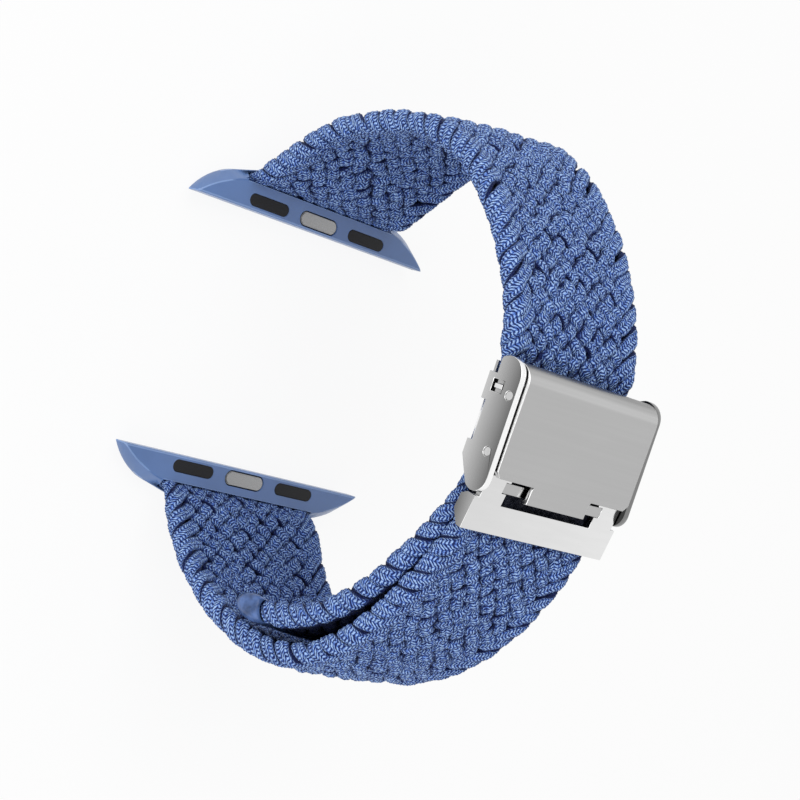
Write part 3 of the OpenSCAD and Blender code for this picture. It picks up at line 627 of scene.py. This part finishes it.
def exposure_of(tube):
    """1 on the braid's outside and at its edges, and less down between cords:
    the height over the middle plane, or the reach into the turn if larger.
    It falls to 0.3 of that at a cord's two sides, where it meets the next. The
    yarn's finish paints shade where this is low."""
    crown = np.abs(np.sin(2 * math.pi * np.arange(tube.shape[2]) / tube.shape[2]))
    high = np.abs(tube[..., 2]) / (RISE + CORD_THICK / 2)
    out = rise(np.abs(tube[..., 0]), CROSS_HALF + TURN_CLEAR, TURN_OVER)
    side = SIDE_LIGHT + (1 - SIDE_LIGHT) * rise(crown, SIDE_FROM, SIDE_OVER)
    return np.clip(np.maximum(high, out), 0, 1) * side


print("exposure of the sample cord:", round(float(exposure_of(sample).mean()), 2),
      "on average")

# %% [markdown]
# ## Finish of the knitted cord
# Dyed polyester yarn is a matt blue. The finish reads the UV map of the
# knitting and paints light and shade into the colour: the tops of the stitches are
# painted lighter, up to painted glints, the hollows between them are painted navy
# as shade, and thin fibres run along each stitch.

# %% Mix the yarn
# The yarn's colours run from painted shade in navy to painted glints in pale blue.
YARN_PAINTED_GLINT = (0.43, 0.63, 1.0, 1)
YARN_LIGHT = (0.13, 0.265, 0.76, 1)
YARN_BLUE = (0.065, 0.155, 0.52, 1)
YARN_SHADE_NAVY = (0.002, 0.010, 0.090, 1)
SHEEN_TINT = (0.6, 0.75, 1.0, 1)
LOOSENESS = 1.3
KNIT_SHARE, FIBRE_SHARE, GRAIN_SHARE, PATCH_SHARE = 0.52, 0.34, 0.34, 0.10
GAP_FROM, GAP_TO = 0.34, 0.80
DARK_TO, DARKEST = 0.3, 0.1
KNIT_DEPTH = 0.14


def ramp_node(tree, factor, stops):
    """A colour ramp from (place, colour) pairs."""
    made = add_node(tree, "ValToRGB", {0: factor})
    elements = made.color_ramp.elements
    while len(elements) < len(stops):
        elements.new(0.5)
    for element, (place, colour) in zip(elements, stops):
        element.position, element.color = place, colour
    return made.outputs[0]


def noise_node(tree, vector, scale, detail=2.0):
    """A noise value between 0 and 1 over a vector."""
    values = {"Vector": vector, "Scale": scale, "Detail": detail}
    return add_node(tree, "TexNoise", values).outputs["Fac"]


def place_of(tree):
    """The place on the piece, in metres."""
    return add_node(tree, "TexCoord", {}).outputs["Object"]


def mapped(tree, output, scale):
    """A Mapping node that stretches a coordinate."""
    return add_node(tree, "Mapping", {"Vector": output, "Scale": scale}).outputs[0]


def bump_node(tree, shader, height, strength, distance):
    """Bends the shader's normal by a height between 0 and 1. The distance is
    what a height of 1 stands for, in millimetres."""
    values = {"Height": height, "Strength": strength, "Distance": distance * MM}
    set_inputs(shader, {"Normal": add_node(tree, "Bump", values).outputs[0]})


def attribute_node(tree, name):
    """The number that a mesh attribute holds."""
    return add_node(tree, "Attribute", {}, attribute_name=name).outputs["Fac"]


def dimmed(tree, colour, factor):
    """A colour times a factor."""
    values = {0: colour, "Scale": factor}
    return add_node(tree, "VectorMath", values, operation="SCALE").outputs[0]


def knit_nodes(tree, knitting):
    """The knitting's height, much as in knit_height: the hump is a bit broader,
    and the stitches shift and differ a little."""
    along, around, _ = add_node(tree, "SeparateXYZ", {0: knitting}).outputs
    lean = math_node(tree, "PINGPONG", around, 1.0)
    loose = noise_node(tree, mapped(tree, knitting, (0.9, 1.1, 1)), 1.0)
    phase = math_node(tree, "MULTIPLY_ADD", lean, STITCH_LEAN, along)
    phase = math_node(tree, "MULTIPLY_ADD", loose, LOOSENESS, phase)
    ridge = math_node(tree, "COSINE", math_node(tree, "MULTIPLY", phase, 2 * math.pi))
    ridge = math_node(tree, "MULTIPLY_ADD", ridge, 0.5, 0.5)
    hump = math_node(tree, "SINE", math_node(tree, "MULTIPLY", around, math.pi))
    hump = math_node(tree, "POWER", math_node(tree, "ABSOLUTE", hump), 0.4)
    each = noise_node(tree, mapped(tree, knitting, (0.7, 1.1, 1)), 1.0, 1.0)
    knit = math_node(tree, "MULTIPLY", ridge, hump)
    return math_node(tree, "MULTIPLY", knit, math_node(tree, "MULTIPLY", each, 2.0))


def yarn_finish():
    """Colour and bump of the yarn. The shade is a sum of the knitting, the
    fibres, a grain and broad patches, each times its share, and picks a colour
    from four: painted shade in the stitches' hollows up to painted glints on their
    tops. The colour then goes to navy and dark where exposure is low, which is
    painted shade between cords, inside the buckle and behind the tail."""
    made, tree, shader = node_material("knitted_yarn")
    knitting = add_node(tree, "UVMap", {}, uv_map="knit").outputs[0]
    knit = knit_nodes(tree, knitting)
    fibre = noise_node(tree, mapped(tree, knitting, (3.0, 14.0, 1)), 1.0, 3.0)
    grain = noise_node(tree, place_of(tree), 3200.0, 1.0)
    patch = noise_node(tree, place_of(tree), 700.0, 2.0)
    shade = math_node(tree, "MULTIPLY", knit, KNIT_SHARE)
    for part, share in ((fibre, FIBRE_SHARE), (grain, GRAIN_SHARE), (patch, PATCH_SHARE)):
        shade = math_node(tree, "MULTIPLY_ADD", part, share, shade)
    # Painted shade in the hollows of the stitches and painted glints on their tops.
    stops = [(0.45, YARN_SHADE_NAVY), (0.53, YARN_BLUE), (0.66, YARN_LIGHT), (0.78, YARN_PAINTED_GLINT)]
    # Painted shade: the colour goes navy, then darker, where the exposure is low.
    exposed = attribute_node(tree, "exposure")
    gap = range_node(tree, exposed, {"From Min": GAP_FROM, "From Max": GAP_TO},
                     interpolation_type="SMOOTHSTEP")
    values = {"Factor": gap, 6: YARN_SHADE_NAVY, 7: ramp_node(tree, shade, stops)}
    mix = add_node(tree, "Mix", values, data_type="RGBA")
    dark = range_node(tree, exposed, {"From Max": DARK_TO, "To Min": DARKEST})
    set_inputs(shader, {"Base Color": dimmed(tree, mix.outputs[2], dark), "Roughness": 0.6,
                        "Specular IOR Level": 0.25, "Sheen Weight": 0.06,
                        "Sheen Roughness": 0.4, "Sheen Tint": SHEEN_TINT})
    height = math_node(tree, "MULTIPLY_ADD", fibre, 0.3, knit)
    bump_node(tree, shader, height, 1.0, KNIT_DEPTH)
    return made


yarn = yarn_finish()
print("yarn finish has", len(yarn.node_tree.nodes), "nodes")

# %% [markdown]
# All of it comes together here. Three cords make one piece, so a strap is six
# pieces. They ride on the strap's body and stand for the CAD model's solid.

# %% Braid the two straps
CORDS_A_PIECE = 3
SHARES = [range(first, first + CORDS_A_PIECE) for first in range(0, CORDS, CORDS_A_PIECE)]
BUCKLE_LOW, BUCKLE_LOW_OVER = 46.5, 1.2
BUCKLE_LEFT, BUCKLE_RIGHT = -9.4, 6.4
GAP_SHADE = 0.85
UPPER_SEED, LOWER_SEED = 11, 23


def braid(prefix, line, outward, seed, body, hidden):
    """Makes the cords of one strap in a few pieces, so that none is too heavy.
    Inside the buckle and in the gap behind the tail, shade is painted into the
    yarn by lowering its exposure."""
    pieces = []
    for count, share in enumerate(SHARES, 1):
        tube, along = cord_tubes(list(share), line["end"], seed)
        bent = bend(tube, line, outward)
        y, z = bent[..., 1], bent[..., 2]
        # Painted shade inside the buckle.
        inside = (rise(z, BUCKLE_LOW, BUCKLE_LOW_OVER) * smooth(y - BUCKLE_LEFT)
                  * smooth(BUCKLE_RIGHT - y))
        exposure = exposure_of(tube) * (1 - inside)
        # Painted shade in the gap between the lower strap's two layers.
        if line is lower:
            exposure = exposure * (1 - GAP_SHADE * between_layers(tube, line))
        piece = tube_piece(f"{prefix}_{count}", bent, along, exposure, yarn)
        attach(piece, body)
        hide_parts(hidden)
        pieces.append(piece)
    return pieces


upper_cords = braid("upper_cords", upper, 1, UPPER_SEED, "strap", "upper_strap")
lower_cords = braid("lower_cords", lower, -1, LOWER_SEED, "strap", "lower_strap")
print("cord pieces:", [(piece.name, len(piece.data.polygons) * 2)
                       for piece in upper_cords + lower_cords])

# %% [markdown]
# ## Finishes of the hard pieces
# The adapters are coated metal in the strap's blue, the pads are black rubber,
# the buttons are fine-blasted steel, and the buckle is brushed on the flap and
# smoother elsewhere. Each finish is a small set of nodes with its own grain,
# because an even colour looks like plastic film. Steel shows its surroundings,
# and a white studio gives it nothing to show, so each steel piece also carries
# an attribute, painted_light, that holds the reflection and shade painted onto
# each of its sides.

# %% Helpers for the finishes
ENAMEL_BLUE = (0.11, 0.20, 0.43, 1)
# A paler blue that paints a highlight on the adapters' rounded edges.
ENAMEL_HIGHLIGHT_BLUE = (0.21, 0.33, 0.60, 1)
RUBBER_BLACK = (0.012, 0.012, 0.013)


def cloud_colour(tree, grain, colour, spread, detail=3.0):
    """A colour that a noise makes darker and lighter by a share."""
    low = tuple(v * (1 - spread) for v in colour[:3]) + (1,)
    high = tuple(min(1.0, v * (1 + spread)) for v in colour[:3]) + (1,)
    cloud = noise_node(tree, mapped(tree, place_of(tree), grain), 1.0, detail)
    return cloud, ramp_node(tree, cloud, [(0.3, low), (0.7, high)])


print("a grain of 100 gives spots of about", 1000 / 100, "mm")

# %% [markdown]
# The adapters' outer edges are paler than their faces in the photograph, so a
# paler copy of the coat paints a highlight on their rounded edges. Rubber is
# nearly black and hardly shines.

# %% Coat and rubber
def enamel_finish(name, blue):
    """Satin coat: a blue base with a faint cloud and a fine orange peel."""
    made, tree, shader = node_material(name)
    _, colour = cloud_colour(tree, (220, 220, 220), blue, 0.07)
    set_inputs(shader, {"Base Color": colour, "Roughness": 0.36, "Coat Weight": 0.35,
                        "Coat Roughness": 0.22})
    bump_node(tree, shader, noise_node(tree, place_of(tree), 9000.0), 0.12, 0.004)
    return made


def rubber_finish():
    """Black rubber with a very fine grain."""
    made, tree, shader = node_material("pad_rubber")
    grain, colour = cloud_colour(tree, (6000, 6000, 6000), RUBBER_BLACK, 0.3)
    set_inputs(shader, {"Base Color": colour, "Roughness": 0.6, "Specular IOR Level": 0.3})
    bump_node(tree, shader, grain, 0.4, 0.01)
    return made


enamel = enamel_finish("satin_blue_coat", ENAMEL_BLUE)
enamel_highlight = enamel_finish("blue_coat_painted_highlight", ENAMEL_HIGHLIGHT_BLUE)
rubber = rubber_finish()
print("made", enamel.name, enamel_highlight.name, "and", rubber.name)

# %% [markdown]
# Steel looks the way it was worked: brushed in long fine streaks, polished almost
# to a mirror, or blasted until it is matt. One function makes all six kinds.

# %% Steel
def steel_finish(name, grey, roughness, grain, spread, aniso=0.0, bump=0.003, with_painted_light=True):
    """Steel: a grey with streaks stretched along the grain, times the painted
    reflection and shade in the attribute painted_light when with_painted_light is
    set, with a roughness that follows the streaks a little."""
    made, tree, shader = node_material(name)
    streak, colour = cloud_colour(tree, grain, (grey, grey, grey), spread)
    if with_painted_light:
        colour = dimmed(tree, colour, attribute_node(tree, "painted_light"))
    rough = range_node(tree, streak, {"To Min": roughness * 0.8, "To Max": roughness * 1.25})
    set_inputs(shader, {"Base Color": colour, "Metallic": 1.0, "Roughness": rough,
                        "Anisotropic": aniso})
    bump_node(tree, shader, streak, 0.25, bump)
    return made


blasted = steel_finish("blasted_steel", 0.34, 0.42, (9000, 9000, 9000), 0.25,
                       bump=0.012, with_painted_light=False)
brushed = steel_finish("brushed_steel_finish", 1.0, 0.30, (60, 3000, 3000), 0.035, 0.5)
polished = steel_finish("polished_steel_finish", 1.0, 0.12, (200, 1500, 1500), 0.03, bump=0.001)
satin = steel_finish("satin_steel_finish", 1.0, 0.22, (900, 120, 400), 0.06, bump=0.001)
turned_steel = steel_finish("turned_steel_finish", 0.62, 0.16, (3000, 300, 3000), 0.05,
                            bump=0.001, with_painted_light=False)
wire = steel_finish("drawn_wire_finish", 0.55, 0.22, (2500, 2500, 2500), 0.05, with_painted_light=False)
print("made six steels")

# %% [markdown]
# ## Round the edges of the hard pieces
# The CAD pieces have knife edges, and no real edge is like that: a pressed or
# ground edge is a little round and catches a line of light. The adapters, the
# pads and the buckle's sheets and bars are therefore copied, their loose
# triangles are joined, and a Bevel modifier rounds their edges. A copy rides on
# the same body and stands for the CAD node. The small lock buttons and the pins
# stay as they are.

# %% Copy a node and soften its edges
BODY_OF = {node: body for body, members in frame["record"]["behaviour"]["bodies"].items()
           for node in members}
JOIN_WITHIN = 0.002
FLAT_WITHIN = math.radians(1.0)
SHARP, TIP_SHARP = math.radians(35), math.radians(88)
TIP_FROM, OUTLINE_FROM, LONG_EDGE = 16.8, 14.0, 20
OUTLINE_SHARE = 0.4


def joined(name):
    """The corners and faces of a CAD node, with its loose triangles joined."""
    work = bmesh.new()
    work.from_mesh(nodes[name].data)
    bmesh.ops.remove_doubles(work, verts=work.verts, dist=JOIN_WITHIN * MM)
    return work


def shown(name, work):
    """Turns the work into a piece in the scene."""
    mesh = bpy.data.meshes.new(name)
    work.to_mesh(mesh)
    work.free()
    mesh.shade_smooth()
    return placed(name, mesh)


def edge_share(edge, lug):
    """How much of the full width an edge is rounded by. Inner corners stay as
    they are, so nothing grows into a pocket. An adapter's thin tips get all of
    it, its long outline a part, and the mouths of its pockets none."""
    if not (edge.is_manifold and edge.is_convex and edge.calc_face_angle(0) > SHARP):
        return 0.0
    if not lug:
        return 1.0
    reach = min(abs(vert.co.x) for vert in edge.verts)
    if reach > TIP_FROM * MM and edge.calc_face_angle(0) > TIP_SHARP:
        return 1.0
    outline = reach > OUTLINE_FROM * MM or edge.calc_length() > LONG_EDGE * MM
    return OUTLINE_SHARE if outline else 0.0


def softened(name, width, segments, material, highlight_coat=None, shrink=0.0):
    """A copy of a CAD node with joined triangles and rounded outer edges. Only
    adapters have a highlight_coat, a paler coat that paints a highlight on their
    round edges. They are also a hair smaller all round, by shrink in
    millimetres, so that a button pressed to its stop just clears the pocket's floor."""
    work = joined(name)
    bmesh.ops.dissolve_limit(work, angle_limit=FLAT_WITHIN, verts=work.verts, edges=work.edges)
    weight = work.edges.layers.float.new("bevel_weight_edge")
    for edge in work.edges:
        edge[weight] = edge_share(edge, highlight_coat is not None)
    piece = shown("soft_" + name, work)
    rounded = piece.modifiers.new("rounded_edge", "BEVEL")
    rounded.width, rounded.segments = width * MM, segments
    rounded.limit_method = "WEIGHT"
    rounded.use_clamp_overlap = False
    if highlight_coat:
        piece.data.materials.append(material)
        piece.data.materials.append(highlight_coat)
        rounded.material = 1
    smaller = piece.modifiers.new("smaller", "DISPLACE")
    smaller.mid_level, smaller.strength = 0.0, -shrink * MM
    flat = piece.modifiers.new("flat_faces", "WEIGHTED_NORMAL")
    flat.mode, flat.weight, flat.thresh = "FACE_AREA", 100, 0.0
    solved = piece.evaluated_get(bpy.context.evaluated_depsgraph_get())
    piece.data = bpy.data.meshes.new_from_object(solved)
    piece.modifiers.clear()
    if not highlight_coat:
        piece.data.materials.clear()
        piece.data.materials.append(material)
    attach(piece, BODY_OF[name])
    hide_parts(name)
    return piece


def read(items, what, width=1, kind=np.float32):
    """A property of each mesh item, as one array with a column for each of its
    numbers."""
    values = np.zeros(len(items) * width, kind)
    items.foreach_get(what, values)
    return values.reshape(-1, width)


def store_painted_light(piece, rule):
    """Stores the painted reflection and shade at each corner. The rule gets the
    corners' places in millimetres, their directions and the middles of their
    faces, all as whole arrays."""
    mesh = piece.data
    corner = read(mesh.loops, "vertex_index", 1, np.int32)[:, 0]
    corners = read(mesh.polygons, "loop_total", 1, np.int32)[:, 0]
    places = read(mesh.vertices, "co", 3)[corner] / MM
    middle = np.repeat(read(mesh.polygons, "center", 3), corners, axis=0) / MM
    painted_light = rule(places, read(mesh.corner_normals, "vector", 3), middle)
    mesh.attributes.new("painted_light", "FLOAT", "CORNER")
    mesh.attributes["painted_light"].data.foreach_set("value", np.clip(painted_light, 0, 1).astype(np.float32))
    return piece


ADAPTERS = ["upper_lug_adapter", "lower_lug_adapter"]
PADS = ["upper_near_pad", "upper_far_pad", "lower_near_pad", "lower_far_pad"]
ADAPTER_EDGE, PAD_EDGE = 0.25, 0.10
BUTTON_ROOM = 0.02
for name in ADAPTERS:
    piece = softened(name, ADAPTER_EDGE, 3, enamel, enamel_highlight, BUTTON_ROOM)
    print(piece.name, len(piece.data.polygons), "faces")
for name in PADS:
    piece = softened(name, PAD_EDGE, 2, rubber)
    print(piece.name, len(piece.data.polygons), "faces")

# %% [markdown]
# ## The buckle's steel
# The buckle is bent from sheet. Its flap is brushed, its clamp plate polished and
# its frame satin. Reflection and shade are painted onto each side by what it faces
# in a studio: sides that look up are painted bright, cut edges get a painted line
# of light, inner walls get painted shade from the dark inside of the buckle, and
# the long side walls are painted from light to dark.

# %% Soften the buckle and paint its reflection and shade
EAR_WINDOW_AT = from_buckle(3.75, 1.65) + LOOP_TO_ROW
EAR_WINDOW_HALF = 1.2
WALL_FOOT = 47.3
KNUCKLES_ABOVE, KNUCKLES_FROM = 49.9, -5.0


def cover_painted_light(place, facing, middle):
    """Painted reflection and shade: 0.46 on the flat, a lighter band where the curl
    begins, dark at its end, lighter cut edges, and shade underneath."""
    curl = np.clip(facing[:, 1], 0, 1)
    painted_light = 0.455 + 0.08 * np.sin(np.clip(curl / 0.75, 0, 1) * math.pi) - 0.33 * curl ** 3
    painted_light = np.where(np.abs(facing[:, 0]) > 0.45, 0.75, painted_light)
    return np.where(facing[:, 2] < -0.3, 0.12, painted_light)


def plate_painted_light(place, facing, middle):
    """Painted reflection and shade: about 0.74 on the flat, 0.16 at the foot of the
    side wall and 0.12 more each millimetre up, 0.42 on the knuckles, and 0.4
    underneath."""
    top = 0.74 + 0.004 * place[:, 0]
    wall = 0.16 + 0.12 * (place[:, 2] - WALL_FOOT)
    painted_light = np.where(np.abs(facing[:, 0]) > 0.6, wall, top)
    knuckles = (middle[:, 2] > KNUCKLES_ABOVE) & (middle[:, 1] > KNUCKLES_FROM)
    painted_light = np.where(knuckles, 0.42, painted_light)
    return np.where(facing[:, 2] < -0.3, 0.4, painted_light)


def frame_painted_light(place, facing, middle):
    """Painted reflection and shade: the outer side of a side wall is about 0.60
    low down and 0.105 less each millimetre up, and its inner side is painted
    nearly black. Cut edges get a painted bright line on the near wall and grey on
    the far one, and the walls of an ear's window are painted nearly black too."""
    x, y, z = place.T
    outer = facing[:, 0] * np.sign(x)
    wall = 0.60 - 0.105 * (z - 47.0) + 0.006 * y
    edge = np.where(x < 0, 0.95, 0.22 + 0.45 * np.clip(outer, 0, 1))
    painted_light = np.where(outer > 0.8, wall, edge)
    painted_light = np.where(outer < -0.6, 0.03, painted_light)
    painted_light = np.where(facing[:, 2] < -0.5, 0.3, painted_light)
    window = np.abs(middle[:, 1:] - EAR_WINDOW_AT).max(1) < EAR_WINDOW_HALF
    return np.where(window & (np.abs(facing[:, 0]) < 0.6), 0.04, painted_light)


def plain_painted_light(place, facing, middle):
    """Painted shade where it looks down, and grey elsewhere."""
    return np.where(facing[:, 2] < -0.3, 0.2, 0.45)


def bar_painted_highlight(place, facing, middle):
    """A painted highlight: bright all over, as the bar's end is in the photograph."""
    return np.full(len(place), 0.8)


BUCKLE = {"buckle_cover": (0.08, 3, brushed, cover_painted_light),
          "clamp_plate": (0.06, 3, polished, plate_painted_light),
          "buckle_frame": (0.08, 3, satin, frame_painted_light),
          "catch_bar": (0.05, 2, polished, plain_painted_light),
          "anchor_bar": (0.05, 2, polished, bar_painted_highlight),
          "strap_end_crimp": (0.05, 2, satin, plain_painted_light)}
for name, (width, segments, material, rule) in BUCKLE.items():
    piece = store_painted_light(softened(name, width, segments, material), rule)
    print(piece.name, len(piece.data.polygons), "faces")

# %% [markdown]
# ## The sleeve on the tail
# The tail's cut end would fray, so it is pushed into a short sleeve of cloudy
# blue plastic. The sleeve is one surface: it starts at the bottom inside, comes
# up the inner wall, turns over the rim and closes round the outside. Its outline
# is a stadium, which is a slot with round ends, carried along the tail's line.

# %% Model the sleeve
SLEEVE_SIDES = 64
SLEEVE_HALF, SLEEVE_DEEP, SLEEVE_WALL = 12.15, 1.2, 0.22
SLEEVE_BACK, SLEEVE_TIP = 2.0, 1.5
ROUND_FROM, ROUND_IN, ROUND_TO, ROUND_RINGS = -0.4, 0.9, 86, 8
SLEEVE_BLUE = (0.075, 0.135, 0.32)


def stadium(half, deep, sides):
    """Corners of a slot outline: a half circle, a straight run, a half circle
    and a straight run, each with a quarter of the corners."""
    u = np.arange(sides) / sides
    quarters = [0, 0.25, 0.5, 0.75, 1]
    centre = np.interp(u, quarters, [1, 1, -1, -1, 1])
    angle = np.interp(u, quarters, [-90, 90, 90, 270, 270])
    across = (half - deep)[:, None] * centre + deep[:, None] * np.cos(np.radians(angle))
    return across, deep[:, None] * np.sin(np.radians(angle))


def clear_finish():
    """Glossy blue plastic that lets only a little light through. Its colour
    varies a lot, as when something can be seen dimly behind it."""
    made, tree, shader = node_material("clear_blue_plastic")
    _, colour = cloud_colour(tree, (900, 900, 900), SLEEVE_BLUE, 0.45, 2.0)
    set_inputs(shader, {"Base Color": colour, "Roughness": 0.16, "Specular IOR Level": 0.35,
                        "Transmission Weight": 0.05, "IOR": 1.4})
    bump_node(tree, shader, noise_node(tree, place_of(tree), 1100.0), 0.6, 0.15)
    return made


def tail_sleeve():
    """The sleeve's rings, from the inside out. Each has a place along the line,
    counted from the tail's end, and the two sizes of its stadium. The tip is
    round: its rings follow the sine and the cosine of an angle."""
    inner = SLEEVE_HALF - SLEEVE_WALL
    rings = np.array([
        (0.0, inner - 0.3, 0.9),
        (0.7 - SLEEVE_TIP - SLEEVE_BACK, inner, SLEEVE_DEEP - SLEEVE_WALL),
        (-SLEEVE_BACK - 0.08, inner + SLEEVE_WALL / 2, SLEEVE_DEEP - SLEEVE_WALL / 2),
        (-SLEEVE_BACK, SLEEVE_HALF - 0.05, SLEEVE_DEEP - 0.04),
        (0.4 - SLEEVE_BACK, SLEEVE_HALF, SLEEVE_DEEP + 0.05),
        (1.2 - SLEEVE_BACK, SLEEVE_HALF, SLEEVE_DEEP + 0.12)])
    turn = np.radians(np.linspace(0, ROUND_TO, ROUND_RINGS))
    tip = np.stack([ROUND_FROM + (SLEEVE_TIP - ROUND_FROM) * np.sin(turn),
                    SLEEVE_HALF - ROUND_IN * (1 - np.cos(turn)),
                    SLEEVE_DEEP * np.cos(turn)], 1)
    s, half, deep = np.vstack([rings, tip]).T
    across, above = stadium(half, deep, SLEEVE_SIDES)
    along = np.broadcast_to((lower["end"] + s)[:, None], across.shape)
    tube = np.stack([across, along, above], -1)
    plain = dict(lower, narrow=np.zeros_like(lower["s"]),
                 thick=np.full_like(lower["s"], FULL_THICKNESS))
    places = bend(tube[None], plain, -1)
    piece = tube_piece("tail_sleeve", places, s[None], np.ones(places.shape[:3]), clear_finish())
    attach(piece, "strap")
    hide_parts("tail_end_cap")
    return piece


sleeve = tail_sleeve()
print("sleeve:", len(sleeve.data.polygons), "faces")

# %% [markdown]
# ## The button springs
# A coil spring behind each button pushes it out again, and a pressed spring is a
# shorter one. Each spring is copied with its triangles joined, and the copy rides
# on the spring's body in place of the CAD node.

# %% Copy the springs
def live_spring(name):
    """A joined copy of a button's spring in the drawn wire finish, on the
    spring's body in place of the CAD node."""
    piece = shown("live_" + name, joined(name))
    piece.data.materials.append(wire)
    heights = read(piece.data.vertices, "co", 3)[:, 2]
    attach(piece, BODY_OF[name])
    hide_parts(name)
    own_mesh(piece)
    return piece


for half in ("upper", "lower"):
    piece = live_spring(half + "_button_spring")

# %% [markdown]
# ## Finishes of the CAD nodes
# The lock buttons and the turned pins are shown as the CAD model has them and
# only need a finish. The nodes that a copy stands for get one as well.

# %% Give the nodes their finishes
WEARS = {turned_steel: ["cover_hinge_pin", "clamp_hinge_pin", "strap_bar", "upper_strap_pin",
                        "lower_strap_pin"],
         wire: ["upper_button_spring", "lower_button_spring"],
         enamel: ADAPTERS,
         rubber: PADS,
         blasted: ["upper_lock_button", "lower_lock_button", *BUCKLE]}
for finish, wearers in WEARS.items():
    for wearer in wearers:
        mesh = nodes[wearer].data
        mesh.materials.clear()
        mesh.materials.append(finish)
print("finished nodes:", sum(len(wearers) for wearers in WEARS.values()))
